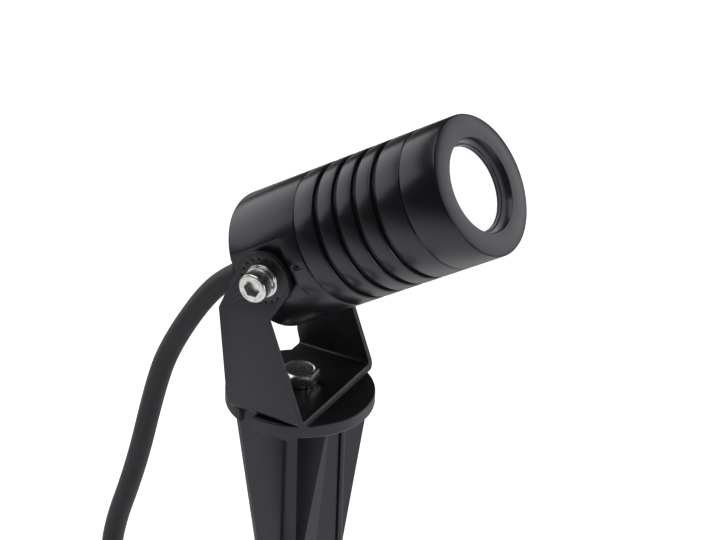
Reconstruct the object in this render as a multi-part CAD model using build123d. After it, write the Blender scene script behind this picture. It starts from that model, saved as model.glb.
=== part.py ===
from build123d import *
import os
from math import asin, atan2, cos, hypot, pi, radians, sin, tan

# Garden spike spotlight. Millimetres, +Z up, the head points towards +X.
# The origin is on the spike's axis at the underside of its flange: the ground line.

# ---- spike -------------------------------------------------------------------------
FLANGE_R = 24.5            # round flange on top of the spike
FLANGE_T = 4.7
FLANGE_EDGE = 0.6          # rounding of the flange's rim
SPIKE_LENGTH = 148.0       # from the flange's underside to the tip
CORE_R = 6.4               # round core where the blades cross
CORE_STRAIGHT = 66.0       # length of the core that stays nearly cylindrical
CORE_LOW_R = 6.9
TIP_R = 0.9
BLADE_TURN = -36.8         # heading of the short blade that faces the viewer, degrees
WIDE_BLADE_R = 23.5        # half width of the wide blade at the flange
WIDE_BLADE_T = 3.0
WIDE_BLADE_SHIFT = 1.3     # the wide blade sits a little to the right of the axis
WIDE_BLADE_TAPER = 165.0   # length over which the wide blade would taper to nothing
SHORT_BLADE_R = 22.3       # half width of the short blade at the flange
SHORT_BLADE_ROOT_T = 8.0
SHORT_BLADE_EDGE_T = 1.0
SHORT_BLADE_TAPER = 98.0
BEAD_R = 1.2               # half-round stiffening beads along the wide blade
BEAD_AT = 13.6
BEAD_LENGTH = 88.0
WEB_ROOT = 5.6             # wedge web between wide blade and core, under the flange
WEB_AT = 16.0              # its outer end, from the axis
WEB_OUTER_DROP = 8.0       # how far the web reaches down at its outer end
WEB_INNER_DROP = 16.0      # and at the core
NOTCH_TURN = -106.0        # heading of the lead notch in the rim, degrees
NOTCH_WIDTH = 6.0
NOTCH_DEPTH = 5.5

# ---- base bolt and its brass insert --------------------------------------------------
M6_R = 3.0
M6_HEAD_ACROSS = 11.0
M6_HEAD_HEIGHT = 3.6
M6_LENGTH = 16.0
BOLT_TURN = -29.0          # heading of one of the hexagon's corners, degrees
M6_WASHER_R = 5.4
M6_WASHER_T = 1.4
WASHER_SPLIT = 0.8         # gap of a split washer
INSERT_R = 4.5
INSERT_LENGTH = 13.0

# ---- yoke ------------------------------------------------------------------------------
YOKE_WIDTH = 47.7          # over the outsides of the arms
SHEET_T = 2.0
BEND_R = 3.0               # outside radius of the bends
YOKE_REAR_X = -12.3        # rear and front ends of the base plate
YOKE_FRONT_X = 14.4
SHOULDER_X = -16.8         # the arm's rear corner
SHOULDER_Z = 40.8
REAR_HEEL_X = -13.9        # the arm's rear edge just above the base plate
REAR_HEEL_Z = 11.2
WAIST_X = 1.1              # the arm's narrowest place, on its front edge
WAIST_Z = 40.3
LUG_R = 9.2                # rounded top of each arm
DIMPLE_R = 0.55            # angle marks round each lug
DIMPLE_DEPTH = 0.3
DIMPLE_RING_R = 7.3
DIMPLE_STEP = 20.0

# ---- head: placed along its own axis from the pivot --------------------------------------
PIVOT_X = -0.9
PIVOT_Z = 55.0
HEAD_PITCH = 32.7          # the head's axis above level at rest, degrees
HEAD_R = 22.5
HEAD_LENGTH = 84.1
REAR_OVERHANG = 11.1       # from the pivot back to the rear end
REAR_PART_LENGTH = 28.0    # rear end to the rear seam
BEZEL_LENGTH = 13.7        # front seam to the front face
GROOVE_COUNT = 4
GROOVE_PITCH = 7.76
GROOVE_WIDTH = 2.0
GROOVE_DEPTH = 1.5
FRONT_BAND = 9.4           # band between the front seam and the first groove
EDGE_BREAK = 0.35          # small chamfer on turned edges
REAR_EDGE_R = 1.2
FRONT_EDGE_R = 0.5
FLAT_STEP = 10.1           # from the pivot forward to the end of each milled flat
SEAT_R = 5.5               # raised seat left on each flat for the arm
SEAT_H = 1.7
REAR_WALL = 4.0
REAR_BORE_R = 14.0
SPIGOT_R = 18.2            # rear spigot of the barrel, in the rear housing
SPIGOT_LENGTH = 8.0
BARREL_BORE_R = 15.5
BULKHEAD_T = 6.0           # heat spreading wall that carries the LED board
BULKHEAD_BACK = 7.3        # from the bulkhead's front face to the front seam
FRONT_SPIGOT_R = 20.0
FRONT_SPIGOT_LENGTH = 6.0
FRONT_RECESS_R = 17.6
BEZEL_LIP = 4.2            # thickness of the bezel's front wall
OPENING_R = 15.0           # bevelled opening in the front face
OPENING_INNER_R = 13.5
BEVEL_DEPTH = 3.2
O_RING_R = 0.75            # half the section of both O-rings, which fill their grooves
O_RING_GROOVE = 2.0        # width of the grooves
REAR_RING_AT = 1.6         # from the rear spigot's end to the middle of its groove
FRONT_RING_AT = 3.0        # from the front seam to the middle of the front groove

# ---- optics and electronics ----------------------------------------------------------------
PAD_T = 0.5
LED_BOARD_R = 16.0
LED_BOARD_T = 1.6
EMITTER_SIDE = 7.0
EMITTER_BASE_T = 0.8
EMITTER_DOME_R = 2.6
OPTIC_RIM_R = 14.2         # thin ring that shows round the lens
RIM_DEPTH = 4.7            # from the front face back to the lens's rim
OPTIC_FLANGE_R = 17.4
OPTIC_FLANGE_T = 1.2
OPTIC_WALL = 0.75
GASKET_T = 1.0
LENS_R = 13.4
LENS_RISE = 2.2
LENS_BACK_R = 6.6
BOARD_LENGTH = 36.0
BOARD_WIDTH = 22.0
BOARD_T = 1.6
CAPACITOR_R = 4.0
CHOKE_R = 4.2
CHOKE_H = 6.0
CHIP_H = 1.6
DIODE_H = 2.2
SMALL_H = 1.0
RAIL_WIDTH = 3.0
RAIL_HEIGHT = 4.0
BOARD_START = 6.0          # from the pivot forward
WIRE_R = 0.6
WIRE_SPACING = 1.8
WIRE_BEND_R = 1.8
SUPPLY_WIRE_R = 0.7
SUPPLY_WIRE_SPACING = 1.8
SUPPLY_WIRE_ON_BOARD = 3.0
WIRE_HOLE_R = 2.2
WIRE_OFFSET = 11.8         # wires and their hole, from the head's axis
M25_R = 1.25
M25_HEAD_R = 2.2
M25_HEAD_H = 1.6
M25_LENGTH = 4.0
BOARD_SCREW_AT = 13.0

# ---- pivot screws -------------------------------------------------------------------------
PIVOT_SCREW_R = 3.0
PIVOT_SCREW_HEAD_R = 4.8
PIVOT_SCREW_HEAD_H = 4.4
PIVOT_SCREW_LENGTH = 10.0
PIVOT_SCREW_SOCKET_ACROSS = 5.0
PIVOT_SCREW_SOCKET_DEPTH = 2.2
KNURL_COUNT = 36
KNURL_R = 0.18
PIVOT_WASHER_R = 5.5
PIVOT_WASHER_T = 1.0
PIVOT_SPRING_R = 5.1
PIVOT_SPRING_T = 1.4
GRUB_R = 1.0
GRUB_LENGTH = 4.0
GRUB_SOCKET_ACROSS = 0.9
GRUB_AT = 13.2             # from the pivot forward

# ---- lead and gland --------------------------------------------------------------------------
LEAD_R = 3.75
GLAND_THREAD_R = 6.0
GLAND_HEX_ACROSS = 14.0
GLAND_HEX_T = 2.5
GLAND_NUT_LENGTH = 6.5
GLAND_WALL = 1.1
SEAL_LENGTH = 5.0
SLEEVE_LENGTH = 9.0        # tapered rubber sleeve, from inside the nut out along the lead
SLEEVE_ROOT_R = 5.0
SLEEVE_TIP_R = 4.35
SLEEVE_IN_NUT = 2.9
LEAD_INSIDE = 6.0          # sheath that stands inside the rear wall
COIL_HALF_TURNS = 4        # half turns in each of the coil's two layers
COIL_PITCH = 8.2           # from one turn to the next, sideways and upwards
COIL_OUTER_R = 50.0        # middle of the coil's outermost half turn
TAIL_LENGTH = 12.0
CORE_WIRE_R = 1.0
CORE_WIRE_LENGTH = 9.0
FERRULE_LENGTH = 5.0
CORE_RING_R = 1.7
TIE_T = 0.9
TIE_WIDTH = 5.0

# ---- clearances ----------------------------------------------------------------------------------
STATIC_CLEAR = 0.05        # between pieces that are fixed to each other
RUNNING_CLEAR = 0.08       # radial play of a pin that turns in its hole
FACE_CLEAR = 0.05          # between an arm and the seat beside it
THREAD_CLEAR = 0.05        # a screw in its thread, both drawn plain

# ---- worked out from the sizes above ------------------------------------------------------------------
FLANGE_TOP = FLANGE_T
PLATE_TOP = FLANGE_TOP + SHEET_T
ARM_OUT_Y = YOKE_WIDTH / 2
ARM_IN_Y = ARM_OUT_Y - SHEET_T
SEAT_Y = ARM_IN_Y - FACE_CLEAR
FLAT_Y = SEAT_Y - SEAT_H
S_REAR = -REAR_OVERHANG
S_FRONT = S_REAR + HEAD_LENGTH
S_REAR_SEAM = S_REAR + REAR_PART_LENGTH
S_FRONT_SEAM = S_FRONT - BEZEL_LENGTH
S_SPIGOT = S_REAR_SEAM - SPIGOT_LENGTH
S_LIP = S_FRONT - BEZEL_LIP
S_FLOOR = -SPIKE_LENGTH
PITCH = radians(HEAD_PITCH)
HEAD = Plane(
    origin=(PIVOT_X, 0, PIVOT_Z),
    x_dir=(sin(PITCH), 0, -cos(PITCH)),
    z_dir=(cos(PITCH), 0, sin(PITCH)),
)
S_BULKHEAD = S_FRONT_SEAM - BULKHEAD_BACK
S_BOARD = S_BULKHEAD + PAD_T
S_BOARD_FACE = S_BOARD + LED_BOARD_T
S_RIM = S_FRONT - RIM_DEPTH
S_GASKET = S_LIP - GASKET_T
S_GLAND_MOUTH = S_REAR - GLAND_HEX_T - GLAND_NUT_LENGTH
WASHER_Y = ARM_OUT_Y + PIVOT_WASHER_T
PIVOT_HEAD_Y = WASHER_Y + PIVOT_SPRING_T
BOLT_SEAT_Z = PLATE_TOP + M6_WASHER_T
LEAD_LOW_Z = S_FLOOR + LEAD_R + TIE_T + 0.1


# ---- small helpers -----------------------------------------------------------------------
def rod(radius, low, high):
    """A round bar along Z."""
    return Pos(0, 0, (low + high) / 2) * Cylinder(radius, high - low)


def ring(outer, inner, low, high):
    """A round tube along Z."""
    return rod(outer, low, high) - rod(inner, low - 1, high + 1)


def hex_rod(across, low, high):
    """A hexagonal bar along Z."""
    return Pos(0, 0, low) * extrude(RegularPolygon(across / 2, 6, major_radius=False), high - low)


def block(size_x, size_y, size_z, x, y, z):
    """A box by its sizes and its middle."""
    return Pos(x, y, z) * Box(size_x, size_y, size_z)


def turned(outline):
    """A solid of revolution round Z from (radius, height) points."""
    return revolve(make_face(Polyline(*[(r, 0, z) for r, z in outline], close=True)), Axis.Z)


def plate_xz(outline, thickness):
    """A plate from (x, z) points, half of its thickness on each side of Y = 0."""
    face = make_face(Polyline(*[(x, 0, z) for x, z in outline], close=True))
    return extrude(face, thickness / 2, both=True)


def split_washer(outer, inner, thickness):
    """A spring lock washer on Z = 0, with its split towards +X."""
    cut = block(outer, WASHER_SPLIT, 3 * thickness, outer / 2 + inner / 2, 0, thickness / 2)
    return ring(outer, inner, 0, thickness) - Rot(20, 0, 0) * cut


def in_head(shape):
    """Place a piece that was drawn along Z with the pivot at its origin."""
    return HEAD.location * shape


def on_pivot(shape, side):
    """Place a piece drawn along +Z on the pivot's axis, Z pointing out of the given side."""
    return Pos(PIVOT_X, 0, PIVOT_Z) * Rot(-90 * side, 0, 0) * shape


def solids_of(shapes):
    """One node of separate solids."""
    return Compound(children=[s for shape in shapes for s in shape.solids()])


# ---- spike -----------------------------------------------------------------------------------
def wide_blade():
    """The blade across the view, with a stiffening bead on each face."""
    low = -0.85 * SPIKE_LENGTH
    low_r = WIDE_BLADE_R * (1 + low / WIDE_BLADE_TAPER)
    right = [(WIDE_BLADE_R, 0), (low_r, low), (TIP_R, S_FLOOR)]
    blade = plate_xz(right + [(-x, z) for x, z in reversed(right)], WIDE_BLADE_T)
    for side in (1, -1):
        bead = rod(BEAD_R, -BEAD_LENGTH, 0)
        blade += Pos(side * BEAD_AT, -side * WIDE_BLADE_T / 2, 0) * bead
    return Pos(WIDE_BLADE_SHIFT, 0, 0) * blade


def webs():
    """Wedge webs in two opposite corners between wide blade and core, under the flange."""
    plan = make_face(Polyline((0, 0), (-WEB_AT, 0), (0, -WEB_ROOT), close=True))
    web = Pos(0, 0, -WEB_INNER_DROP) * extrude(plan, WEB_INNER_DROP)
    outline = [(0, 0), (-WEB_AT, 0), (-WEB_AT, -WEB_OUTER_DROP), (0, -WEB_INNER_DROP)]
    web &= plate_xz(outline, 4 * WEB_ROOT)
    return web + Rot(0, 0, 180) * web


def short_blade():
    """The blade towards the viewer: thick at the core, thin at its edge."""
    low = -0.8 * SHORT_BLADE_TAPER
    low_r = SHORT_BLADE_R * (1 + low / SHORT_BLADE_TAPER)
    root, edge = SHORT_BLADE_ROOT_T / 2, SHORT_BLADE_EDGE_T / 2
    plan = [(SHORT_BLADE_R, edge), (0, root), (-SHORT_BLADE_R, edge)]
    plan += [(-x, -y) for x, y in plan]
    wedge = Pos(0, 0, low) * extrude(make_face(Polyline(*plan, close=True)), -low)
    right = [(SHORT_BLADE_R, 0), (low_r, low)]
    outline = right + [(-x, z) for x, z in reversed(right)]
    return wedge & plate_xz(outline, 2 * SHORT_BLADE_ROOT_T)


def spike_body():
    """Flange, core and crossed blades in one moulding."""
    flange = rod(FLANGE_R, 0, FLANGE_T)
    flange = fillet(flange.edges().filter_by(GeomType.CIRCLE), FLANGE_EDGE)
    core = turned([(0, 0), (CORE_R, 0), (CORE_LOW_R, -CORE_STRAIGHT), (TIP_R, S_FLOOR), (0, S_FLOOR)])
    body = flange + core
    body += Rot(0, 0, BLADE_TURN) * short_blade()
    body += Rot(0, 0, BLADE_TURN + 90) * (wide_blade() + webs())
    inner = FLANGE_R - NOTCH_DEPTH + NOTCH_WIDTH / 2
    notch = block(2 * NOTCH_DEPTH, NOTCH_WIDTH, 3 * FLANGE_T, inner + NOTCH_DEPTH, 0, FLANGE_T / 2)
    notch += Pos(inner, 0, 0) * rod(NOTCH_WIDTH / 2, -FLANGE_T, 2 * FLANGE_T)
    body -= Rot(0, 0, NOTCH_TURN) * notch
    return body - rod(INSERT_R + STATIC_CLEAR, FLANGE_TOP - INSERT_LENGTH, FLANGE_TOP + 1)


def spike_insert():
    """Brass insert that the base bolt screws into, just under the flange's top."""
    low = FLANGE_TOP - INSERT_LENGTH
    return ring(INSERT_R, M6_R + THREAD_CLEAR, low, FLANGE_TOP - STATIC_CLEAR)


def base_bolt():
    """Hexagon head bolt, its corners chamfered on top."""
    top = BOLT_SEAT_Z + M6_HEAD_HEIGHT
    corner = M6_HEAD_ACROSS / 2 / cos(pi / 6)
    blank = rod(corner, BOLT_SEAT_Z, top)
    blank = chamfer(blank.edges().group_by(Axis.Z)[-1], 0.5, 0.9)
    head = Rot(0, 0, BOLT_TURN) * hex_rod(M6_HEAD_ACROSS, BOLT_SEAT_Z, top) & blank
    shank = rod(M6_R, BOLT_SEAT_Z - M6_LENGTH, BOLT_SEAT_Z)
    return head + chamfer(shank.edges().group_by(Axis.Z)[0], 0.6)


def base_spring_washer():
    """Split lock washer under the bolt's head."""
    washer = split_washer(M6_WASHER_R, M6_R + RUNNING_CLEAR, M6_WASHER_T)
    return Pos(0, 0, PLATE_TOP) * Rot(0, 0, -40) * washer


# ---- yoke ----------------------------------------------------------------------------------------
def tangent_point(x, z, side):
    """Where a line from (x, z) touches the lug's circle, on the given side."""
    dx, dz = x - PIVOT_X, z - PIVOT_Z
    heading = atan2(dz, dx) + side * (pi / 2 - asin(LUG_R / hypot(dx, dz)))
    return PIVOT_X + LUG_R * cos(heading), PIVOT_Z + LUG_R * sin(heading)


def arm_outline():
    """Side view of the yoke: base, waist and rounded lug."""
    rear = tangent_point(SHOULDER_X, SHOULDER_Z, -1)
    front = tangent_point(WAIST_X, WAIST_Z, 1)
    path = [
        front,
        (WAIST_X, WAIST_Z),
        (YOKE_FRONT_X, FLANGE_TOP),
        (YOKE_REAR_X, FLANGE_TOP),
        (REAR_HEEL_X, REAR_HEEL_Z),
        (SHOULDER_X, SHOULDER_Z),
        rear,
    ]
    points = [(x, 0, z) for x, z in path]
    top = (PIVOT_X, 0, PIVOT_Z + LUG_R)
    return make_face([*Polyline(*points).edges(), ThreePointArc(points[-1], top, points[0])])


def yoke_bracket():
    """U bracket of bent sheet, holed for the base bolt and the pivot screws."""
    height = PIVOT_Z + 2 * LUG_R - FLANGE_TOP
    length = 2 * (YOKE_FRONT_X - SHOULDER_X)
    outside = block(length, YOKE_WIDTH, height, 0, 0, FLANGE_TOP + height / 2)
    bends = outside.edges().filter_by(Axis.X).group_by(Axis.Z)[0]
    channel = fillet(bends, BEND_R)
    channel -= block(2 * length, 2 * ARM_IN_Y, height, 0, 0, PLATE_TOP + height / 2)
    bracket = channel & extrude(arm_outline(), YOKE_WIDTH, both=True)
    bracket -= rod(M6_R + RUNNING_CLEAR, 0, 2 * PLATE_TOP)
    for side in (1, -1):
        bracket -= on_pivot(rod(PIVOT_SCREW_R + RUNNING_CLEAR, 0, YOKE_WIDTH), side)
        for k in range(14):
            mark = Pos(DIMPLE_RING_R, 0, 0) * rod(DIMPLE_R, ARM_OUT_Y - DIMPLE_DEPTH, ARM_OUT_Y + 1)
            bracket -= on_pivot(Rot(0, 0, -40 + k * DIMPLE_STEP * side) * mark, side)
    return bracket


# ---- head shells -----------------------------------------------------------------------------------
def rear_housing():
    """Rear cup of the head: milled flats for the arms, tapped for pivot and grub screws."""
    outline = [
        (0, S_REAR),
        (HEAD_R, S_REAR),
        (HEAD_R, S_REAR_SEAM - EDGE_BREAK),
        (HEAD_R - EDGE_BREAK, S_REAR_SEAM),
        (SPIGOT_R + STATIC_CLEAR, S_REAR_SEAM),
        (SPIGOT_R + STATIC_CLEAR, S_SPIGOT - STATIC_CLEAR),
        (REAR_BORE_R, S_SPIGOT - STATIC_CLEAR),
        (REAR_BORE_R, S_REAR + REAR_WALL),
        (0, S_REAR + REAR_WALL),
    ]
    cup = turned(outline)
    rims = cup.edges().filter_by(GeomType.CIRCLE).group_by(Axis.Z)[0]
    cup = fillet(rims.sort_by(SortBy.LENGTH)[-1:], REAR_EDGE_R)
    cup -= rod(GLAND_THREAD_R + THREAD_CLEAR, S_REAR - 1, S_REAR + REAR_WALL + 1)
    flat_length = FLAT_STEP - S_REAR + 5
    for side in (1, -1):
        y = side * (FLAT_Y + HEAD_R / 2)
        cup -= block(2 * HEAD_R, HEAD_R, flat_length, 0, y, FLAT_STEP - flat_length / 2)
        cup += Rot(-90 * side, 0, 0) * rod(SEAT_R, FLAT_Y - SEAT_H / 2, SEAT_Y)
        cup -= Rot(-90 * side, 0, 0) * rod(PIVOT_SCREW_R + THREAD_CLEAR, REAR_BORE_R - 2, SEAT_Y + 1)
    cup -= Pos(0, 0, GRUB_AT) * Rot(90, 0, 0) * rod(GRUB_R + THREAD_CLEAR, SPIGOT_R - 2, HEAD_R + 1)
    return in_head(cup)


def heat_sink_barrel():
    """Grooved middle of the head with a spigot at each end and the bulkhead inside."""
    rear_ring = S_SPIGOT + REAR_RING_AT
    front_ring = S_FRONT_SEAM + FRONT_RING_AT
    half, depth = O_RING_GROOVE / 2, 2 * O_RING_R
    outline = [
        (BARREL_BORE_R, S_SPIGOT),
        (SPIGOT_R, S_SPIGOT),
        (SPIGOT_R, rear_ring - half),
        (SPIGOT_R - depth, rear_ring - half),
        (SPIGOT_R - depth, rear_ring + half),
        (SPIGOT_R, rear_ring + half),
        (SPIGOT_R, S_REAR_SEAM),
        (HEAD_R - EDGE_BREAK, S_REAR_SEAM),
        (HEAD_R, S_REAR_SEAM + EDGE_BREAK),
    ]
    for k in reversed(range(GROOVE_COUNT)):
        front = S_FRONT_SEAM - FRONT_BAND - k * GROOVE_PITCH
        rear = front - GROOVE_WIDTH
        floor = HEAD_R - GROOVE_DEPTH
        outline += [(HEAD_R, rear - EDGE_BREAK), (HEAD_R - EDGE_BREAK, rear), (floor, rear)]
        outline += [(floor, front), (HEAD_R - EDGE_BREAK, front), (HEAD_R, front + EDGE_BREAK)]
    outline += [
        (HEAD_R, S_FRONT_SEAM - EDGE_BREAK),
        (HEAD_R - EDGE_BREAK, S_FRONT_SEAM),
        (FRONT_SPIGOT_R, S_FRONT_SEAM),
        (FRONT_SPIGOT_R, front_ring - half),
        (FRONT_SPIGOT_R - depth, front_ring - half),
        (FRONT_SPIGOT_R - depth, front_ring + half),
        (FRONT_SPIGOT_R, front_ring + half),
        (FRONT_SPIGOT_R, S_FRONT_SEAM + FRONT_SPIGOT_LENGTH),
        (FRONT_RECESS_R, S_FRONT_SEAM + FRONT_SPIGOT_LENGTH),
        (FRONT_RECESS_R, S_BULKHEAD),
        (0, S_BULKHEAD),
        (0, S_BULKHEAD - BULKHEAD_T),
        (BARREL_BORE_R, S_BULKHEAD - BULKHEAD_T),
    ]
    barrel = turned(outline)
    barrel -= board_holes()
    return in_head(barrel)


def board_holes():
    """Holes through the bulkhead, pad and LED board: wires, and the board's screws."""
    low, high = S_BULKHEAD - BULKHEAD_T - 1, S_BOARD_FACE + 1
    holes = Pos(-WIRE_OFFSET, 0, 0) * rod(WIRE_HOLE_R, low, high)
    for side in (1, -1):
        depth = S_BOARD_FACE - M25_LENGTH - 0.5
        holes += Pos(0, side * BOARD_SCREW_AT, 0) * rod(M25_R + THREAD_CLEAR, depth, high)
    return holes


def front_bezel():
    """Screwed front ring with the bevelled light opening."""
    outline = [
        (FRONT_SPIGOT_R + STATIC_CLEAR, S_FRONT_SEAM),
        (HEAD_R - EDGE_BREAK, S_FRONT_SEAM),
        (HEAD_R, S_FRONT_SEAM + EDGE_BREAK),
        (HEAD_R, S_FRONT - FRONT_EDGE_R),
        (HEAD_R - FRONT_EDGE_R, S_FRONT),
        (OPENING_R, S_FRONT),
        (OPENING_INNER_R, S_FRONT - BEVEL_DEPTH),
        (OPENING_INNER_R, S_LIP),
        (FRONT_RECESS_R + 0.5, S_LIP),
        (FRONT_RECESS_R + 0.5, S_FRONT_SEAM + FRONT_SPIGOT_LENGTH + 4 * STATIC_CLEAR),
        (FRONT_SPIGOT_R + STATIC_CLEAR, S_FRONT_SEAM + FRONT_SPIGOT_LENGTH + 4 * STATIC_CLEAR),
    ]
    return in_head(turned(outline))


def o_ring(spigot_r, middle):
    """A rubber ring that fills its groove in a spigot."""
    return in_head(Pos(0, 0, middle) * Torus(spigot_r - O_RING_R, O_RING_R))


# ---- optics and electronics -------------------------------------------------------------------------
def optic_holder():
    """Cup that carries the lens, its front rim showing as a thin ring round it."""
    inner_back = LENS_BACK_R + 0.3
    cone_end = S_GASKET - OPTIC_FLANGE_T
    outline = [
        (inner_back, S_BOARD_FACE),
        (inner_back + OPTIC_WALL, S_BOARD_FACE),
        (inner_back + OPTIC_WALL, lens_back()),
        (OPTIC_RIM_R, cone_end),
        (OPTIC_FLANGE_R, cone_end),
        (OPTIC_FLANGE_R, S_GASKET),
        (OPTIC_RIM_R, S_GASKET),
        (OPTIC_RIM_R, S_RIM),
        (LENS_R + STATIC_CLEAR, S_RIM),
        (LENS_R + STATIC_CLEAR, cone_end),
        (inner_back, lens_back()),
    ]
    return in_head(turned(outline))


def lens_back():
    """Rear face of the lens, just in front of the emitter's dome."""
    return S_BOARD_FACE + EMITTER_BASE_T + EMITTER_DOME_R + 0.4


def lens():
    """Solid collimating optic with a domed front."""
    cone_end = S_GASKET - OPTIC_FLANGE_T
    side = Polyline(
        (0, 0, lens_back()),
        (LENS_BACK_R, 0, lens_back()),
        (LENS_R, 0, cone_end),
        (LENS_R, 0, S_RIM),
    )
    ball = (LENS_R**2 + LENS_RISE**2) / (2 * LENS_RISE)
    half = asin(LENS_R / ball) / 2
    shoulder = (ball * sin(half), 0, S_RIM + LENS_RISE - ball * (1 - cos(half)))
    dome = ThreePointArc((LENS_R, 0, S_RIM), shoulder, (0, 0, S_RIM + LENS_RISE))
    axis = Line((0, 0, S_RIM + LENS_RISE), (0, 0, lens_back()))
    return in_head(revolve(make_face([*side.edges(), dome, axis]), Axis.Z))


def lens_gasket():
    """Flat seal between the holder's flange and the bezel's lip."""
    return in_head(ring(FRONT_RECESS_R, OPTIC_RIM_R + 0.1, S_GASKET, S_LIP))


def led_board():
    """Round metal-core board."""
    return in_head(rod(LED_BOARD_R, S_BOARD, S_BOARD_FACE) - board_holes())


def thermal_pad():
    """Soft pad between LED board and bulkhead."""
    return in_head(rod(LED_BOARD_R, S_BULKHEAD, S_BOARD) - board_holes())


def led_emitter():
    """Square package with its clear dome."""
    top = S_BOARD_FACE + EMITTER_BASE_T
    base = block(EMITTER_SIDE, EMITTER_SIDE, EMITTER_BASE_T, 0, 0, top - EMITTER_BASE_T / 2)
    dome = Pos(0, 0, top) * Sphere(EMITTER_DOME_R)
    return in_head(base + (dome & rod(2 * EMITTER_DOME_R, top, top + EMITTER_SIDE)))


def led_board_screws():
    """Two small pan head screws."""
    screws = []
    for side in (1, -1):
        head = rod(M25_HEAD_R, S_BOARD_FACE, S_BOARD_FACE + M25_HEAD_H)
        head = fillet(head.edges().group_by(Axis.Z)[-1], 0.5)
        head -= block(0.5, 3 * M25_HEAD_R, 1.2, 0, 0, S_BOARD_FACE + M25_HEAD_H)
        shank = rod(M25_R, S_BOARD_FACE - M25_LENGTH, S_BOARD_FACE)
        screws.append(in_head(Pos(0, side * BOARD_SCREW_AT, 0) * (head + shank)))
    return solids_of(screws)


def driver_board():
    """Circuit board along the head's axis, its face touching the supply wires."""
    middle = BOARD_START + BOARD_LENGTH / 2
    return in_head(block(BOARD_T, BOARD_WIDTH, BOARD_LENGTH, SUPPLY_WIRE_R + BOARD_T / 2, 0, middle))


def board_rails():
    """Two slotted rails that hold the board's long edges against the bore."""
    rails = []
    start = S_SPIGOT + 2
    length = BOARD_START + BOARD_LENGTH - start
    bore = rod(BARREL_BORE_R - STATIC_CLEAR, start - 1, start + length + 1)
    x = SUPPLY_WIRE_R + BOARD_T / 2
    across = BOARD_WIDTH + 2 * STATIC_CLEAR
    slot = block(BOARD_T + 2 * STATIC_CLEAR, across, 2 * length, x, 0, start + length / 2)
    for side in (1, -1):
        y = side * (BOARD_WIDTH / 2 - RAIL_WIDTH / 2 + RAIL_HEIGHT)
        rail = block(RAIL_HEIGHT + BOARD_T, 2 * RAIL_HEIGHT, length, x, y, start + length / 2)
        rails.append(in_head((rail & bore) - slot))
    return solids_of(rails)


def driver_components():
    """Capacitor, choke and chips standing on the board."""
    face = SUPPLY_WIRE_R

    def on_board(shape, height, across, along):
        """Stand a piece on the board, placed by shares of the board's width and length."""
        y, z = across * BOARD_WIDTH, BOARD_START + along * BOARD_LENGTH
        return in_head(Pos(face - height / 2, y, z) * shape)

    capacitor = Cylinder(CAPACITOR_R, 3 * CAPACITOR_R)
    choke = Rot(0, 90, 0) * Cylinder(CHOKE_R, CHOKE_H)
    chip = Box(CHIP_H, 3 * CHIP_H, 4 * CHIP_H)
    diode = Box(DIODE_H, 2 * DIODE_H, 2 * DIODE_H)
    small = Box(SMALL_H, 2 * SMALL_H, 3 * SMALL_H)
    return solids_of([
        on_board(capacitor, 2 * CAPACITOR_R, 0.22, 0.39),
        on_board(choke, CHOKE_H, -0.21, 0.36),
        on_board(chip, CHIP_H, 0.2, 0.72),
        on_board(diode, DIODE_H, -0.23, 0.65),
        on_board(small, SMALL_H, -0.23, 0.86),
    ])


def led_wires():
    """Two wires from the driver through the bulkhead to the LED board."""
    wires = []
    x = SUPPLY_WIRE_R - WIRE_R
    turn_end = S_BULKHEAD - BULKHEAD_T - 1.5
    for side in (1, -1):
        y = side * WIRE_SPACING / 2
        points = [
            (x, y, BOARD_START + BOARD_LENGTH - 6),
            (x, y, BOARD_START + BOARD_LENGTH - 2),
            (-WIRE_OFFSET, y, turn_end),
            (-WIRE_OFFSET, y, S_BOARD_FACE + 0.6),
        ]
        path = FilletPolyline(*points, radius=WIRE_BEND_R)
        section = Plane(origin=points[0], z_dir=(0, 0, 1)) * Circle(WIRE_R)
        wires.append(in_head(sweep(section, path=path)))
    return solids_of(wires)


def supply_wires():
    """Three cores from the lead's end onto the driver board."""
    wires = []
    for k in (-1, 0, 1):
        wire = rod(SUPPLY_WIRE_R, S_REAR + REAR_WALL + LEAD_INSIDE, BOARD_START + SUPPLY_WIRE_ON_BOARD)
        wires.append(in_head(Pos(0, k * SUPPLY_WIRE_SPACING, 0) * wire))
    return solids_of(wires)


# ---- pivot and grub screws ---------------------------------------------------------------------------
def pivot_screw():
    """Knurled socket cap screw drawn with its head's underside on Z = 0."""
    knurl = []
    for k in range(2 * KNURL_COUNT):
        radius = PIVOT_SCREW_HEAD_R - KNURL_R * (k % 2)
        angle = pi * k / KNURL_COUNT
        knurl.append((radius * cos(angle), radius * sin(angle)))
    head = extrude(make_face(Polyline(*knurl, close=True)), PIVOT_SCREW_HEAD_H)
    blank = rod(PIVOT_SCREW_HEAD_R + 0.1, 0, PIVOT_SCREW_HEAD_H)
    head &= chamfer(blank.edges().group_by(Axis.Z)[-1], 0.5)
    floor = PIVOT_SCREW_HEAD_H - PIVOT_SCREW_SOCKET_DEPTH
    head -= hex_rod(PIVOT_SCREW_SOCKET_ACROSS, floor, PIVOT_SCREW_HEAD_H + 1)
    shank = rod(PIVOT_SCREW_R, -PIVOT_SCREW_LENGTH, 0)
    return head + chamfer(shank.edges().group_by(Axis.Z)[0], 0.5)


def pivot_screws():
    """One screw on each side of the yoke."""
    return solids_of([on_pivot(Pos(0, 0, PIVOT_HEAD_Y) * pivot_screw(), side) for side in (1, -1)])


def pivot_spring_washers():
    """Split lock washers under the pivot screws."""
    washer = split_washer(PIVOT_SPRING_R, PIVOT_SCREW_R + RUNNING_CLEAR, PIVOT_SPRING_T)
    return solids_of([on_pivot(Pos(0, 0, WASHER_Y) * washer, side) for side in (1, -1)])


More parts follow.
